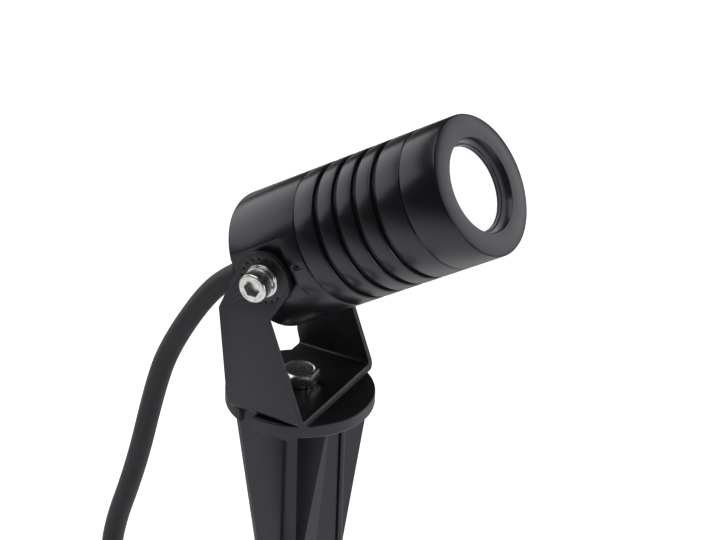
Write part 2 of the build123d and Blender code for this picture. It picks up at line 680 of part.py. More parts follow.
def pivot_washers():
    """Flat washers on the arms."""
    washer = ring(PIVOT_WASHER_R, PIVOT_SCREW_R + RUNNING_CLEAR, 0, PIVOT_WASHER_T)
    return solids_of([on_pivot(Pos(0, 0, ARM_OUT_Y) * washer, side) for side in (1, -1)])


def grub_screw():
    """Socket set screw that locks the rear housing on the barrel's spigot."""
    tip = SPIGOT_R + STATIC_CLEAR
    screw = rod(GRUB_R, tip, tip + GRUB_LENGTH)
    screw = chamfer(screw.edges().group_by(Axis.Z)[-1], 0.25)
    screw -= hex_rod(GRUB_SOCKET_ACROSS, tip + GRUB_LENGTH - 1.4, tip + GRUB_LENGTH + 1)
    return in_head(Pos(0, 0, GRUB_AT) * Rot(90, 0, 0) * screw)


# ---- gland and lead ---------------------------------------------------------------------------------
def gland_body():
    """Threaded gland body with its hexagon against the rear wall."""
    hex_low = S_REAR - GLAND_HEX_T
    collet_low = hex_low - SEAL_LENGTH + 1.5
    body = hex_rod(GLAND_HEX_ACROSS, hex_low, S_REAR)
    body += rod(GLAND_THREAD_R, S_REAR, S_REAR + REAR_WALL + 1)
    body += rod(GLAND_THREAD_R - 0.4, collet_low, hex_low)
    body -= rod(LEAD_R + 3 * STATIC_CLEAR, collet_low - 1, S_REAR + REAR_WALL + 2)
    return in_head(body - rod(seal_outer() + STATIC_CLEAR, collet_low - 1, collet_low + SEAL_LENGTH))


def seal_outer():
    """Outside radius of the gland's seal."""
    return GLAND_THREAD_R - 0.4 - GLAND_WALL / 2


def gland_seal():
    """Rubber sleeve squeezed round the lead."""
    low = S_REAR - GLAND_HEX_T - SEAL_LENGTH + 1.5
    return in_head(ring(seal_outer(), LEAD_R + STATIC_CLEAR, low, low + SEAL_LENGTH))


def gland_nut():
    """Domed clamping nut."""
    high = S_REAR - GLAND_HEX_T - STATIC_CLEAR
    collet_low = S_REAR - GLAND_HEX_T - SEAL_LENGTH + 1.5
    nut = hex_rod(GLAND_HEX_ACROSS, S_GLAND_MOUTH, high)
    blank = rod(GLAND_HEX_ACROSS / 2 / cos(pi / 6), S_GLAND_MOUTH, high)
    nut &= chamfer(blank.edges().group_by(Axis.Z)[0], 2.4)
    nut -= rod(GLAND_THREAD_R - 0.4 + STATIC_CLEAR, collet_low - STATIC_CLEAR, high + 1)
    return in_head(nut - rod(SLEEVE_ROOT_R + STATIC_CLEAR, S_GLAND_MOUTH - 1, high))


def lead_sleeve():
    """Tapered rubber sleeve that eases the lead out of the nut."""
    high = S_GLAND_MOUTH + SLEEVE_IN_NUT
    low = high - SLEEVE_LENGTH
    outline = [
        (LEAD_R + 2 * STATIC_CLEAR, high),
        (SLEEVE_ROOT_R, high),
        (SLEEVE_ROOT_R, S_GLAND_MOUTH),
        (SLEEVE_TIP_R, low + 0.3),
        (SLEEVE_TIP_R - 0.2, low),
        (LEAD_R + 2 * STATIC_CLEAR, low),
    ]
    return in_head(turned(outline))


def lead_entry():
    """The lead inside the gland, up to its stripped end in the housing."""
    return in_head(rod(LEAD_R, S_GLAND_MOUTH, S_REAR + REAR_WALL + LEAD_INSIDE))


def head_point(along):
    """A point on the head's axis."""
    return PIVOT_X + along * cos(PITCH), 0, PIVOT_Z + along * sin(PITCH)


# The lead's route: out of the gland, down past the flange and round to the coil.
LEAD_ROUTE = [
    head_point(S_GLAND_MOUTH),
    head_point(S_GLAND_MOUTH - 9.5),
    (-36.5, 0, 28.2),
    (-50.6, 0, 3.8),
    (-56.3, 0, -13.8),
    (-64.0, 0, -47.1),
    (-75.1, 0, -79.6),
    (-76.4, 2.2, -102.1),
    (-79.1, -6.9, -124.1),
    (-81.9, -25.8, -138.7),
    (-83.9, -43.4, LEAD_LOW_Z),
    (-85.0, -54.8, LEAD_LOW_Z),
    (-85.0, -62.0, LEAD_LOW_Z),
]


def bend_radii(points):
    """The largest radius that each corner's two runs allow."""
    radii = []
    for before, here, after in zip(points, points[1:], points[2:]):
        into = Vector(*here) - Vector(*before)
        out = Vector(*after) - Vector(*here)
        run = min(into.length, out.length)
        radii.append(0.45 * run / tan(radians(into.get_angle(out)) / 2))
    return radii


def coil_path():
    """Half turns that spiral in, climb a layer where the spiral reverses, and spiral out."""
    x, y, z = LEAD_ROUTE[-1]
    turns = [COIL_OUTER_R - k * COIL_PITCH / 2 for k in range(COIL_HALF_TURNS)]
    climb = turns[-1] - COIL_PITCH / 2
    edges = []
    side = 1
    for radius in [*turns, climb, *reversed(turns)]:
        rise = COIL_PITCH if radius == climb else 0
        across = hypot(2 * radius, rise)
        middle = (x + side * radius, y - side * across / 2, z + rise / 2)
        end = (x + side * 2 * radius, y, z + rise)
        edges.append(ThreePointArc((x, y, z), middle, end))
        x, y, z = end
        side = -side
    return edges, (x, y, z)


def coil_self_gap(edges):
    """Least gap between turns of the coil, from points along its middle line."""
    points = [edge @ (k / 40) for edge in edges for k in range(40)]
    least = min(
        (a - b).length
        for i, a in enumerate(points)
        for b in points[i + 50:]
    )
    return least - 2 * LEAD_R


def lead_free():
    """The free stretch of the lead, from the gland to the coil."""
    radii = bend_radii(LEAD_ROUTE)
    print("lead bend radii", [round(r, 1) for r in radii])
    path = FilletPolyline(*LEAD_ROUTE, radius=radii)
    section = Plane(origin=LEAD_ROUTE[0], z_dir=path % 0) * Circle(LEAD_R)
    tube = sweep(section, path=path)
    expected = pi * LEAD_R**2 * path.length
    print("free lead length", round(path.length, 1), "volume ratio", round(tube.volume / expected, 5))
    return tube


def lead_coil():
    """The put-away length in two layers, and its short straight end."""
    edges, (x, y, z) = coil_path()
    edges.append(Line((x, y, z), (x, y + TAIL_LENGTH, z)))
    path = Wire([edge.edge() for edge in edges])
    section = Plane(origin=LEAD_ROUTE[-1], z_dir=(0, -1, 0)) * Circle(LEAD_R)
    tube = sweep(section, path=path)
    expected = pi * LEAD_R**2 * path.length
    print("coil length", round(path.length, 1), "volume ratio", round(tube.volume / expected, 5))
    print("coil gap to itself", round(coil_self_gap(edges[:-1]), 3))
    return tube


def lead_end_pieces():
    """Three stripped cores and their ferrules at the lead's far end."""
    _, (x, y, z) = coil_path()
    start = y + TAIL_LENGTH
    cores, ferrules = [], []
    for k in range(3):
        angle = 2 * pi * k / 3
        place = Pos(x + CORE_RING_R * cos(angle), start, z + CORE_RING_R * sin(angle)) * Rot(-90, 0, 0)
        cores.append(place * rod(CORE_WIRE_R, 0, CORE_WIRE_LENGTH))
        sleeve = rod(CORE_WIRE_R + 0.15, CORE_WIRE_LENGTH, CORE_WIRE_LENGTH + 2)
        pin = rod(CORE_WIRE_R - 0.2, CORE_WIRE_LENGTH + 2, CORE_WIRE_LENGTH + FERRULE_LENGTH)
        ferrules.append(place * (sleeve + pin))
    return solids_of(cores), solids_of(ferrules)


def lead_tie():
    """Strap round the coil's turns on the side away from the object."""
    x = LEAD_ROUTE[-1][0] + COIL_OUTER_R
    inner_turn = COIL_OUTER_R - COIL_HALF_TURNS * COIL_PITCH / 2
    near = LEAD_ROUTE[-1][1] - inner_turn + LEAD_R + 0.15
    far = LEAD_ROUTE[-1][1] - COIL_OUTER_R - LEAD_R - 0.15
    low = LEAD_LOW_Z - LEAD_R - 0.1
    high = LEAD_LOW_Z + COIL_PITCH + LEAD_R + 0.1
    wide, tall = near - far, high - low
    y, z = (near + far) / 2, (low + high) / 2
    hole = block(2 * TIE_WIDTH, wide, tall, x, y, z)
    strap = block(TIE_WIDTH, wide + 2 * TIE_T, tall + 2 * TIE_T, x, y, z)
    strap = fillet(strap.edges().filter_by(Axis.X), 2.0)
    return strap - fillet(hole.edges().filter_by(Axis.X), 2.0 - TIE_T)


# ---- write one file per node -----------------------------------------------------------------------------
def all_nodes():
    """Every node of the part by name."""
    cores, ferrules = lead_end_pieces()
    return {
        "spike_body": spike_body(),
        "spike_insert": spike_insert(),
        "base_bolt": base_bolt(),
        "base_spring_washer": base_spring_washer(),
        "yoke_bracket": yoke_bracket(),
        "rear_housing": rear_housing(),
        "heat_sink_barrel": heat_sink_barrel(),
        "front_bezel": front_bezel(),
        "rear_o_ring": o_ring(SPIGOT_R, S_SPIGOT + REAR_RING_AT),
        "front_o_ring": o_ring(FRONT_SPIGOT_R, S_FRONT_SEAM + FRONT_RING_AT),
        "lens_gasket": lens_gasket(),
        "optic_holder": optic_holder(),
        "lens": lens(),
        "led_board": led_board(),
        "thermal_pad": thermal_pad(),
        "led_emitter": led_emitter(),
        "led_board_screws": led_board_screws(),
        "driver_board": driver_board(),
        "driver_components": driver_components(),
        "board_rails": board_rails(),
        "led_wires": led_wires(),
        "supply_wires": supply_wires(),
        "pivot_screws": pivot_screws(),
        "pivot_spring_washers": pivot_spring_washers(),
        "pivot_washers": pivot_washers(),
        "grub_screw": grub_screw(),
        "gland_body": gland_body(),
        "gland_seal": gland_seal(),
        "gland_nut": gland_nut(),
        "lead_sleeve": lead_sleeve(),
        "lead_entry": lead_entry(),
        "lead_free": lead_free(),
        "lead_coil": lead_coil(),
        "lead_tie": lead_tie(),
        "lead_cores": cores,
        "core_ferrules": ferrules,
    }


os.makedirs("parts", exist_ok=True)
for name, shape in all_nodes().items():
    export_step(shape, f"parts/{name}.step")
    print(name, len(shape.solids()), "solids", round(shape.volume, 1))
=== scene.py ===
"""Garden spike spotlight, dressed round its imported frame.

Each sub-assembly is a class. It holds its sizes in millimetres, models its pieces
with Blender's own tools, gives them their finishes and says which body they ride on.
"""

import logging
import math
from dataclasses import dataclass, field
from enum import Enum

import bmesh
import bpy
from mathutils import Euler, Matrix, Vector


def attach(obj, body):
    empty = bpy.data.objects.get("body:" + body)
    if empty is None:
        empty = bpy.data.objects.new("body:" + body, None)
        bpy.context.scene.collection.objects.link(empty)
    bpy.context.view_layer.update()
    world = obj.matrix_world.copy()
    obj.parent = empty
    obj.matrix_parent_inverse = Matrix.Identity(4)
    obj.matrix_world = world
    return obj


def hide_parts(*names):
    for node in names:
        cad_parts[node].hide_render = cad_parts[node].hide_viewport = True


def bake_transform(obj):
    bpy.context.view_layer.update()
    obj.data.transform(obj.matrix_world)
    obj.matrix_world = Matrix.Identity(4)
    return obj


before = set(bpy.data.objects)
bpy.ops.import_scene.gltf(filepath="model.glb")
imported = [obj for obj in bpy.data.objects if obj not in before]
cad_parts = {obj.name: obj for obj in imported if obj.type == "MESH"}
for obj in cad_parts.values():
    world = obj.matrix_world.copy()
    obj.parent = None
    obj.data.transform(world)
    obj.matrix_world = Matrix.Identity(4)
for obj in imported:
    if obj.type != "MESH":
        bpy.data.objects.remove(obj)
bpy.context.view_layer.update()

LOG = logging.getLogger("spotlight")
MM = 0.001
COOL_SHEEN = (0.86, 0.86, 1.0, 1.0)
COAT_ROUGHNESS = 0.15
NOISE_LOW, NOISE_HIGH = 0.3, 0.7
WHITE = (1.0, 1.0, 1.0, 1.0)
PITCH = math.radians(32.7)
PIVOT = Vector((-0.9, 0.0, 55.0)) * MM
HEAD_TURN = Euler((0.0, math.pi / 2 - PITCH, 0.0))
HEAD_PLACE = Matrix.Translation(PIVOT) @ HEAD_TURN.to_matrix().to_4x4()
FLOOR = -148.0
HOLE_GAP = 0.08

Outline = list[tuple[float, float]]
Point = tuple[float, float, float]


class Body(Enum):
    """The rigid bodies that pieces ride on."""

    SPIKE = "spike"
    YOKE = "yoke"
    HEAD = "head"


class Side(Enum):
    """The two arms of the yoke: the one near the camera and the far one."""

    NEAR = -1
    FAR = 1

    @property
    def outwards(self) -> Matrix:
        """The turn that points a piece drawn along +Z out of this arm."""
        return Matrix.Rotation(-self.value * math.pi / 2, 4, "X")


# ---- modelling bench ----------------------------------------------------------------------


class Bench:
    """Modelling steps that every sub-assembly shares. Sizes go in as millimetres."""

    @staticmethod
    def clear() -> None:
        """Leave edit mode and deselect everything."""
        if bpy.context.object and bpy.context.object.mode != "OBJECT":
            bpy.ops.object.mode_set(mode="OBJECT")
        bpy.ops.object.select_all(action="DESELECT")

    @staticmethod
    def take(piece: bpy.types.Object) -> None:
        """Select one piece alone and make it active.

        Args:
            piece: The piece to work on.
        """
        Bench.clear()
        piece.select_set(True)
        bpy.context.view_layer.objects.active = piece

    @staticmethod
    def circle(name: str, radius: float, height: float, steps: int, filled: bool) -> bpy.types.Object:
        """Add a circle round Z and open it for editing, all selected.

        Args:
            name: The new piece's name.
            radius: Its radius.
            height: Its height along Z.
            steps: How many vertices it has.
            filled: Whether it has a face.

        Returns:
            The new piece, in edit mode.
        """
        Bench.clear()
        bpy.ops.mesh.primitive_circle_add(
            vertices=steps,
            radius=radius * MM,
            fill_type="NGON" if filled else "NOTHING",
            location=(0.0, 0.0, height * MM),
        )
        piece = bpy.context.object
        piece.name = name
        piece.data.name = name
        bpy.ops.object.transform_apply(location=True, rotation=True, scale=True)
        bpy.ops.object.mode_set(mode="EDIT")
        bpy.ops.mesh.select_all(action="SELECT")
        return piece

    @staticmethod
    def turned(name: str, outline: Outline, steps: int = 128) -> bpy.types.Object:
        """Turn an outline round Z by extruding and resizing one ring.

        An outline that starts or ends on the axis is closed there with a face, and one that
        ends where it starts makes a hollow ring.

        Args:
            name: The new piece's name.
            outline: Points as (radius, height).
            steps: Vertices in each ring.

        Returns:
            The closed piece, in object mode.
        """
        capped = outline[0][0] == 0
        points = outline[1:] if capped else list(outline)
        radius, height = points[0]
        piece = Bench.circle(name, radius, height, steps, capped)
        for next_radius, next_height in points[1:]:
            if next_radius == 0:
                if not capped:
                    bpy.ops.mesh.edge_face_add()
                break
            bpy.ops.mesh.extrude_region_move(
                TRANSFORM_OT_translate={"value": (0.0, 0.0, (next_height - height) * MM)}
            )
            grow = next_radius / radius
            bpy.ops.transform.resize(
                value=(grow, grow, 1.0), center_override=(0.0, 0.0, next_height * MM)
            )
            radius, height = next_radius, next_height
        return Bench.closed(piece)

    @staticmethod
    def rod(name: str, radius: float, low: float, high: float, steps: int) -> bpy.types.Object:
        """Turn a plain cylinder.

        Args:
            name: The new piece's name.
            radius: Its radius.
            low: Height of its base.
            high: Height of its top.
            steps: Vertices in each ring.

        Returns:
            The closed piece, in object mode.
        """
        return Bench.turned(name, [(0, low), (radius, low), (radius, high), (0, high)], steps)

    @staticmethod
    def hexagon(across: float, turn: float = 0.0) -> Outline:
        """The outline of a hexagon.

        Args:
            across: Its size across the flats.
            turn: The heading of its first corner in degrees.

        Returns:
            Its corners as (x, y).
        """
        corner = across / 2 / math.cos(math.pi / 6)
        angles = [math.radians(turn + 60 * k) for k in range(6)]
        return [(corner * math.cos(a), corner * math.sin(a)) for a in angles]

    @staticmethod
    def closed(piece: bpy.types.Object) -> bpy.types.Object:
        """Merge doubles, point the faces outwards and leave edit mode.

        Args:
            piece: The piece being edited.

        Returns:
            The same piece.
        """
        bpy.ops.mesh.select_all(action="SELECT")
        bpy.ops.mesh.remove_doubles(threshold=1e-7)
        bpy.ops.mesh.normals_make_consistent(inside=False)
        bpy.ops.object.mode_set(mode="OBJECT")
        return piece

    @staticmethod
    def slab(name: str, outline: Outline, low: float, high: float) -> bpy.types.Object:
        """Extrude a flat outline along Z.

        Args:
            name: The new piece's name.
            outline: Points as (x, y), in order round the shape.
            low: Height of its base.
            high: Height of its top.

        Returns:
            The closed piece, in object mode.
        """
        piece = Bench.circle(name, 1.0, low, len(outline), True)
        mesh = bmesh.from_edit_mesh(piece.data)
        for vertex, (x, y) in zip(mesh.verts, outline):
            vertex.co = Vector((x, y, low)) * MM
        bmesh.update_edit_mesh(piece.data)
        bpy.ops.mesh.extrude_region_move(
            TRANSFORM_OT_translate={"value": (0.0, 0.0, (high - low) * MM)}
        )
        return Bench.closed(piece)

    @staticmethod
    def place(piece: bpy.types.Object, matrix: Matrix) -> bpy.types.Object:
        """Move a piece and bake the move into its mesh.

        Args:
            piece: The piece to move.
            matrix: Where it goes, in metres.

        Returns:
            The same piece, at the origin.
        """
        Bench.take(piece)
        piece.matrix_world = matrix @ piece.matrix_world
        bpy.ops.object.transform_apply(location=True, rotation=True, scale=True)
        return piece

    @staticmethod
    def combine(piece: bpy.types.Object, tool: bpy.types.Object, how: str) -> None:
        """Apply a boolean and throw the tool away.

        Args:
            piece: The piece that stays.
            tool: The piece that cuts, joins or bounds it.
            how: DIFFERENCE, UNION or INTERSECT.
        """
        Bench.take(piece)
        step = piece.modifiers.new("shape", "BOOLEAN")
        step.operation = how
        step.solver = "EXACT"
        step.object = tool
        bpy.ops.object.modifier_apply(modifier=step.name)
        bpy.data.objects.remove(tool, do_unlink=True)

    @staticmethod
    def soften(piece: bpy.types.Object, width: float, segments: int = 2, angle: float = 30.0) -> None:
        """Bevel the sharp edges a little and smooth what is round.

        Args:
            piece: The piece to finish.
            width: Width of the bevel.
            segments: Faces across the bevel.
            angle: Edges sharper than this, in degrees, are bevelled.
        """
        Bench.take(piece)
        step = piece.modifiers.new("edge", "BEVEL")
        step.width = width * MM
        step.segments = segments
        step.limit_method = "ANGLE"
        step.angle_limit = math.radians(angle)
        bpy.ops.object.modifier_apply(modifier=step.name)
        bpy.ops.object.shade_smooth_by_angle(angle=math.radians(angle))

    @staticmethod
    def smooth(piece: bpy.types.Object, angle: float = 30.0) -> None:
        """Smooth the round faces and keep edges sharper than the angle.

        Args:
            piece: The piece to shade.
            angle: The angle in degrees.
        """
        Bench.take(piece)
        bpy.ops.object.shade_smooth_by_angle(angle=math.radians(angle))

    @staticmethod
    def join(pieces: list[bpy.types.Object], name: str) -> bpy.types.Object:
        """Make one object of several pieces.

        Args:
            pieces: The pieces, the first of which stays.
            name: The result's name.

        Returns:
            The joined piece.
        """
        Bench.clear()
        for piece in pieces:
            piece.select_set(True)
        bpy.context.view_layer.objects.active = pieces[0]
        if len(pieces) > 1:
            bpy.ops.object.join()
        pieces[0].name = name
        pieces[0].data.name = name
        return pieces[0]

    @staticmethod
    def copy(piece: bpy.types.Object, matrix: Matrix) -> bpy.types.Object:
        """Copy a piece with a mesh of its own and bake it at a new place.

        Args:
            piece: The piece to copy.
            matrix: Where the copy goes.

        Returns:
            The copy.
        """
        Bench.take(piece)
        bpy.ops.object.duplicate(linked=False)
        return Bench.place(bpy.context.object, matrix)


# ---- finishes -----------------------------------------------------------------------------


class Wires:
    """The nodes and links of one material or world."""

    def __init__(self, owner: bpy.types.ID, emptied: bool) -> None:
        """Open the owner's node tree.

        Args:
            owner: The material or world.
            emptied: Whether its first nodes are thrown away.
        """
        owner.use_nodes = True
        self.nodes, self.links = owner.node_tree.nodes, owner.node_tree.links
        if emptied:
            self.nodes.clear()

    def fill(self, node: bpy.types.Node, inputs: dict[str | int, object]) -> None:
        """Set or link inputs of a node.

        Args:
            node: The node.
            inputs: For each input, its value or the socket that it is linked to.
        """
        for key, value in inputs.items():
            if isinstance(value, bpy.types.NodeSocket):
                self.links.new(value, node.inputs[key])
            else:
                node.inputs[key].default_value = value

    def add(self, kind: str, inputs: dict[str | int, object], **settings: str) -> bpy.types.Node:
        """Add a node.

        Args:
            kind: Its type, without the word ShaderNode.
            inputs: For each input, its value or the socket that it is linked to.
            settings: Its own settings, made before its inputs.

        Returns:
            The node.
        """
        node = self.nodes.new("ShaderNode" + kind)
        for name, value in settings.items():
            setattr(node, name, value)
        self.fill(node, inputs)
        return node

    def math(self, how: str, *values: object) -> bpy.types.NodeSocket:
        """Work a number out of others.

        Args:
            how: The operation.
            values: Numbers or sockets, in the order of its inputs.

        Returns:
            The result's socket.
        """
        return self.add("Math", dict(enumerate(values)), operation=how).outputs[0]


class Grain(Enum):
    """How the fine marks of a finish run."""

    EVEN = "even"
    TURNED = "turned round the head's axis"
    PIVOT = "turned round the tilt axis"
    UPRIGHT = "turned round the spike's axis"


@dataclass(frozen=True)
class Finish:
    """One surface finish, made of shader nodes on Object coordinates.

    Attributes:
        name: The material's name.
        color: Main colour, linear.
        tint: Second colour that the broad mottling moves towards.
        metal: 0 for a plastic or a coat, 1 for bare metal.
        rough: Lowest and highest roughness.
        mottle: Size in millimetres of the broad variation.
        fine: Size in millimetres of the fine marks.
        relief: Depth in millimetres of the fine marks.
        grain: How the fine marks run.
        stretch: How much longer than wide the fine marks are.
        specular: Specular level.
        coat: Weight of a clear coat.
        sheen: Weight of a sheen.
        glow: Emission strength.
    """

    name: str
    color: Point
    tint: Point
    metal: float = 0.0
    rough: tuple[float, float] = (0.4, 0.5)
    mottle: float = 8.0
    fine: float = 0.25
    relief: float = 0.004
    grain: Grain = Grain.EVEN
    stretch: float = 30.0
    specular: float = 0.5
    coat: float = 0.0
    sheen: float = 0.0
    glow: float = 0.0

    def material(self) -> bpy.types.Material:
        """Build the material once and hand it out after that."""
        known = bpy.data.materials.get(self.name)
        if known:
            return known
        made = bpy.data.materials.new(self.name)
        wires = Wires(made, False)
        where = wires.add("TexCoord", {}).outputs["Object"]
        broad = self.noise(wires, where, self.mottle, 3.0)
        fine = self.noise(wires, self.run_of_marks(wires, where), self.fine, 2.0)
        color = wires.add(
            "Mix", {"A": (*self.color, 1.0), "B": (*self.tint, 1.0), "Factor": broad}, data_type="RGBA"
        )
        both = wires.math("MULTIPLY_ADD", broad, 0.5, wires.math("MULTIPLY", fine, 0.5))
        ends = {"From Min": NOISE_LOW, "From Max": NOISE_HIGH}
        spread = {**ends, "To Min": self.rough[0], "To Max": self.rough[1], "Value": both}
        rough = wires.add("MapRange", spread)
        bump = wires.add("Bump", {"Strength": 1.0, "Distance": self.relief * MM, "Height": fine})
        inputs = {
            "Metallic": self.metal,
            "Specular IOR Level": self.specular,
            "Coat Weight": self.coat,
            "Coat Roughness": COAT_ROUGHNESS,
            "Sheen Weight": self.sheen,
            "Base Color": color.outputs["Result"],
            "Roughness": rough.outputs["Result"],
            "Normal": bump.outputs["Normal"],
        }
        if not self.metal:
            inputs["Specular Tint"] = COOL_SHEEN
        if self.glow:
            inputs |= {"Emission Color": (*self.color, 1.0), "Emission Strength": self.glow}
        wires.fill(wires.nodes["Principled BSDF"], inputs)
        return made

    def run_of_marks(self, wires: Wires, where: bpy.types.NodeSocket) -> bpy.types.NodeSocket:
        """Turn or stretch the coordinates so that the fine marks run the right way.

        Args:
            wires: The material's wires.
            where: Object coordinates.

        Returns:
            The coordinates for the fine marks.
        """
        if self.grain is Grain.EVEN:
            return where
        inputs = {"Vector": where}
        if self.grain is not Grain.UPRIGHT:
            inputs["Location"] = PIVOT
            inputs["Rotation"] = HEAD_TURN if self.grain is Grain.TURNED else (math.pi / 2, 0.0, 0.0)
        mapping = wires.add("Mapping", inputs, vector_type="TEXTURE")
        split = wires.add("SeparateXYZ", {"Vector": mapping.outputs["Vector"]}).outputs
        level = wires.add("CombineXYZ", {"X": split["X"], "Y": split["Y"]}).outputs["Vector"]
        radius = wires.add("VectorMath", {0: level}, operation="LENGTH")
        slow = wires.add("VectorMath", {0: level, "Scale": 1.0 / self.stretch}, operation="SCALE")
        drift = wires.add("SeparateXYZ", {"Vector": slow.outputs["Vector"]}).outputs
        height = wires.math("ADD", split["Z"], drift["Y"])
        marks = {"X": radius.outputs["Value"], "Y": drift["X"], "Z": height}
        return wires.add("CombineXYZ", marks).outputs["Vector"]

    @staticmethod
    def noise(
        wires: Wires, where: bpy.types.NodeSocket, size: float, detail: float
    ) -> bpy.types.NodeSocket:
        """Add a noise texture.

        Args:
            wires: The material's wires.
            where: The coordinates to read.
            size: Size of its blots in millimetres.
            detail: How many finer layers it has.

        Returns:
            The noise's value.
        """
        inputs = {"Scale": 1.0 / (size * MM), "Detail": detail, "Vector": where}
        return wires.add("TexNoise", inputs).outputs["Fac"]


ANODISED = Finish(
    "satin_black_anodised",
    (0.011, 0.011, 0.013),
    (0.015, 0.015, 0.017),
    rough=(0.20, 0.29),
    fine=0.18,
    relief=0.0010,
    grain=Grain.TURNED,
    stretch=12.0,
)
COATED_SHEET = Finish(
    "black_coated_sheet",
    (0.013, 0.013, 0.015),
    (0.018, 0.018, 0.020),
    rough=(0.27, 0.36),
    fine=0.35,
    relief=0.003,
)
STAINLESS_PIVOT = Finish(
    "turned_stainless_at_pivot",
    (0.80, 0.79, 0.77),
    (0.66, 0.65, 0.63),
    metal=1.0,
    rough=(0.20, 0.36),
    mottle=1.6,
    fine=0.12,
    relief=0.004,
    grain=Grain.PIVOT,
    stretch=20.0,
)
STAINLESS_BOLT = Finish(
    "forged_stainless_bolt",
    (0.80, 0.79, 0.78),
    (0.62, 0.61, 0.60),
    metal=1.0,
    rough=(0.18, 0.34),
    mottle=2.2,
    fine=0.3,
    relief=0.006,
)
SPIKE_PLASTIC = Finish(
    "moulded_black_plastic",
    (0.014, 0.015, 0.017),
    (0.021, 0.022, 0.024),
    rough=(0.26, 0.40),
    mottle=12.0,
    fine=0.5,
    relief=0.006,
)
LEAD_RUBBER = Finish(
    "matte_rubber_sheath",
    (0.026, 0.026, 0.028),
    (0.040, 0.040, 0.043),
    rough=(0.50, 0.66),
    mottle=5.0,
    fine=0.4,
    relief=0.012,
    sheen=0.15,
)
SEAL_RUBBER = Finish(
    "seal_rubber",
    (0.016, 0.016, 0.016),
    (0.024, 0.024, 0.024),
    rough=(0.5, 0.65),
)
NYLON = Finish(
    "black_nylon",
    (0.019, 0.019, 0.020),
    (0.027, 0.027, 0.028),
    rough=(0.35, 0.5),
    relief=0.006,
)
BLACK_STEEL = Finish(
    "blackened_steel",
    (0.03, 0.03, 0.032),
    (0.06, 0.06, 0.06),
    metal=0.6,
    rough=(0.25, 0.4),
)
BRASS = Finish(
    "turned_brass", (0.72, 0.52, 0.24), (0.55, 0.38, 0.16), metal=1.0, rough=(0.2, 0.4), grain=Grain.UPRIGHT
)
GREY_PLASTIC = Finish("grey_holder_plastic", (0.30, 0.30, 0.31), (0.24, 0.24, 0.25), rough=(0.3, 0.45))
WHITE_BOARD = Finish("white_board_mask", (0.75, 0.75, 0.72), (0.66, 0.66, 0.63), rough=(0.25, 0.35), coat=0.3)
GREEN_BOARD = Finish("green_board_mask", (0.02, 0.16, 0.06), (0.03, 0.22, 0.09), rough=(0.25, 0.35), coat=0.3)
CHIP_BLACK = Finish("moulded_component", (0.03, 0.03, 0.03), (0.05, 0.05, 0.05), rough=(0.35, 0.5))
GREY_PAD = Finish("grey_silicone_pad", (0.32, 0.34, 0.38), (0.26, 0.28, 0.31), rough=(0.6, 0.7))
RED_WIRE = Finish("red_insulation", (0.45, 0.02, 0.015), (0.36, 0.015, 0.01), rough=(0.3, 0.4))
BROWN_WIRE = Finish("brown_insulation", (0.16, 0.07, 0.03), (0.12, 0.05, 0.02), rough=(0.3, 0.4))
TINNED = Finish("tinned_ferrule", (0.70, 0.70, 0.70), (0.55, 0.55, 0.55), metal=1.0, rough=(0.2, 0.35))
PHOSPHOR = Finish("led_phosphor", (1.0, 0.86, 0.45), (1.0, 0.8, 0.35), rough=(0.2, 0.3), glow=1.0)
LENS_LIT = Finish("lit_optic", (0.95, 0.96, 0.98), (0.90, 0.91, 0.93), rough=(0.08, 0.16), glow=0.95)


def dress(piece: bpy.types.Object, finish: Finish) -> None:
    """Give a piece one finish.

    Args:
        piece: The piece.
        finish: Its finish.
    """
    piece.data.materials.clear()
    piece.data.materials.append(finish.material())


def dress_node(name: str, finish: Finish) -> None:
    """Give a CAD node that stays visible its finish.

    Args:
        name: The node's name.
        finish: Its finish.
    """
    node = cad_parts[name]
    for spot in node.material_slots:
        spot.material = finish.material()


def mount(piece: bpy.types.Object, body: Body, slot: str, *nodes: str) -> None:
    """Let a piece ride on its body in place of CAD nodes.

    Args:
        piece: The piece.
        body: The body it rides on.
        slot: The name of the record's material slot; not used.
        nodes: The CAD nodes it stands for.
    """
    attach(piece, body.value)
    if nodes:
        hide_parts(*nodes)
    LOG.info("%s rides on %s for %s", piece.name, body.value, ", ".join(nodes) or "no node")


# ---- stage --------------------------------------------------------------------------------


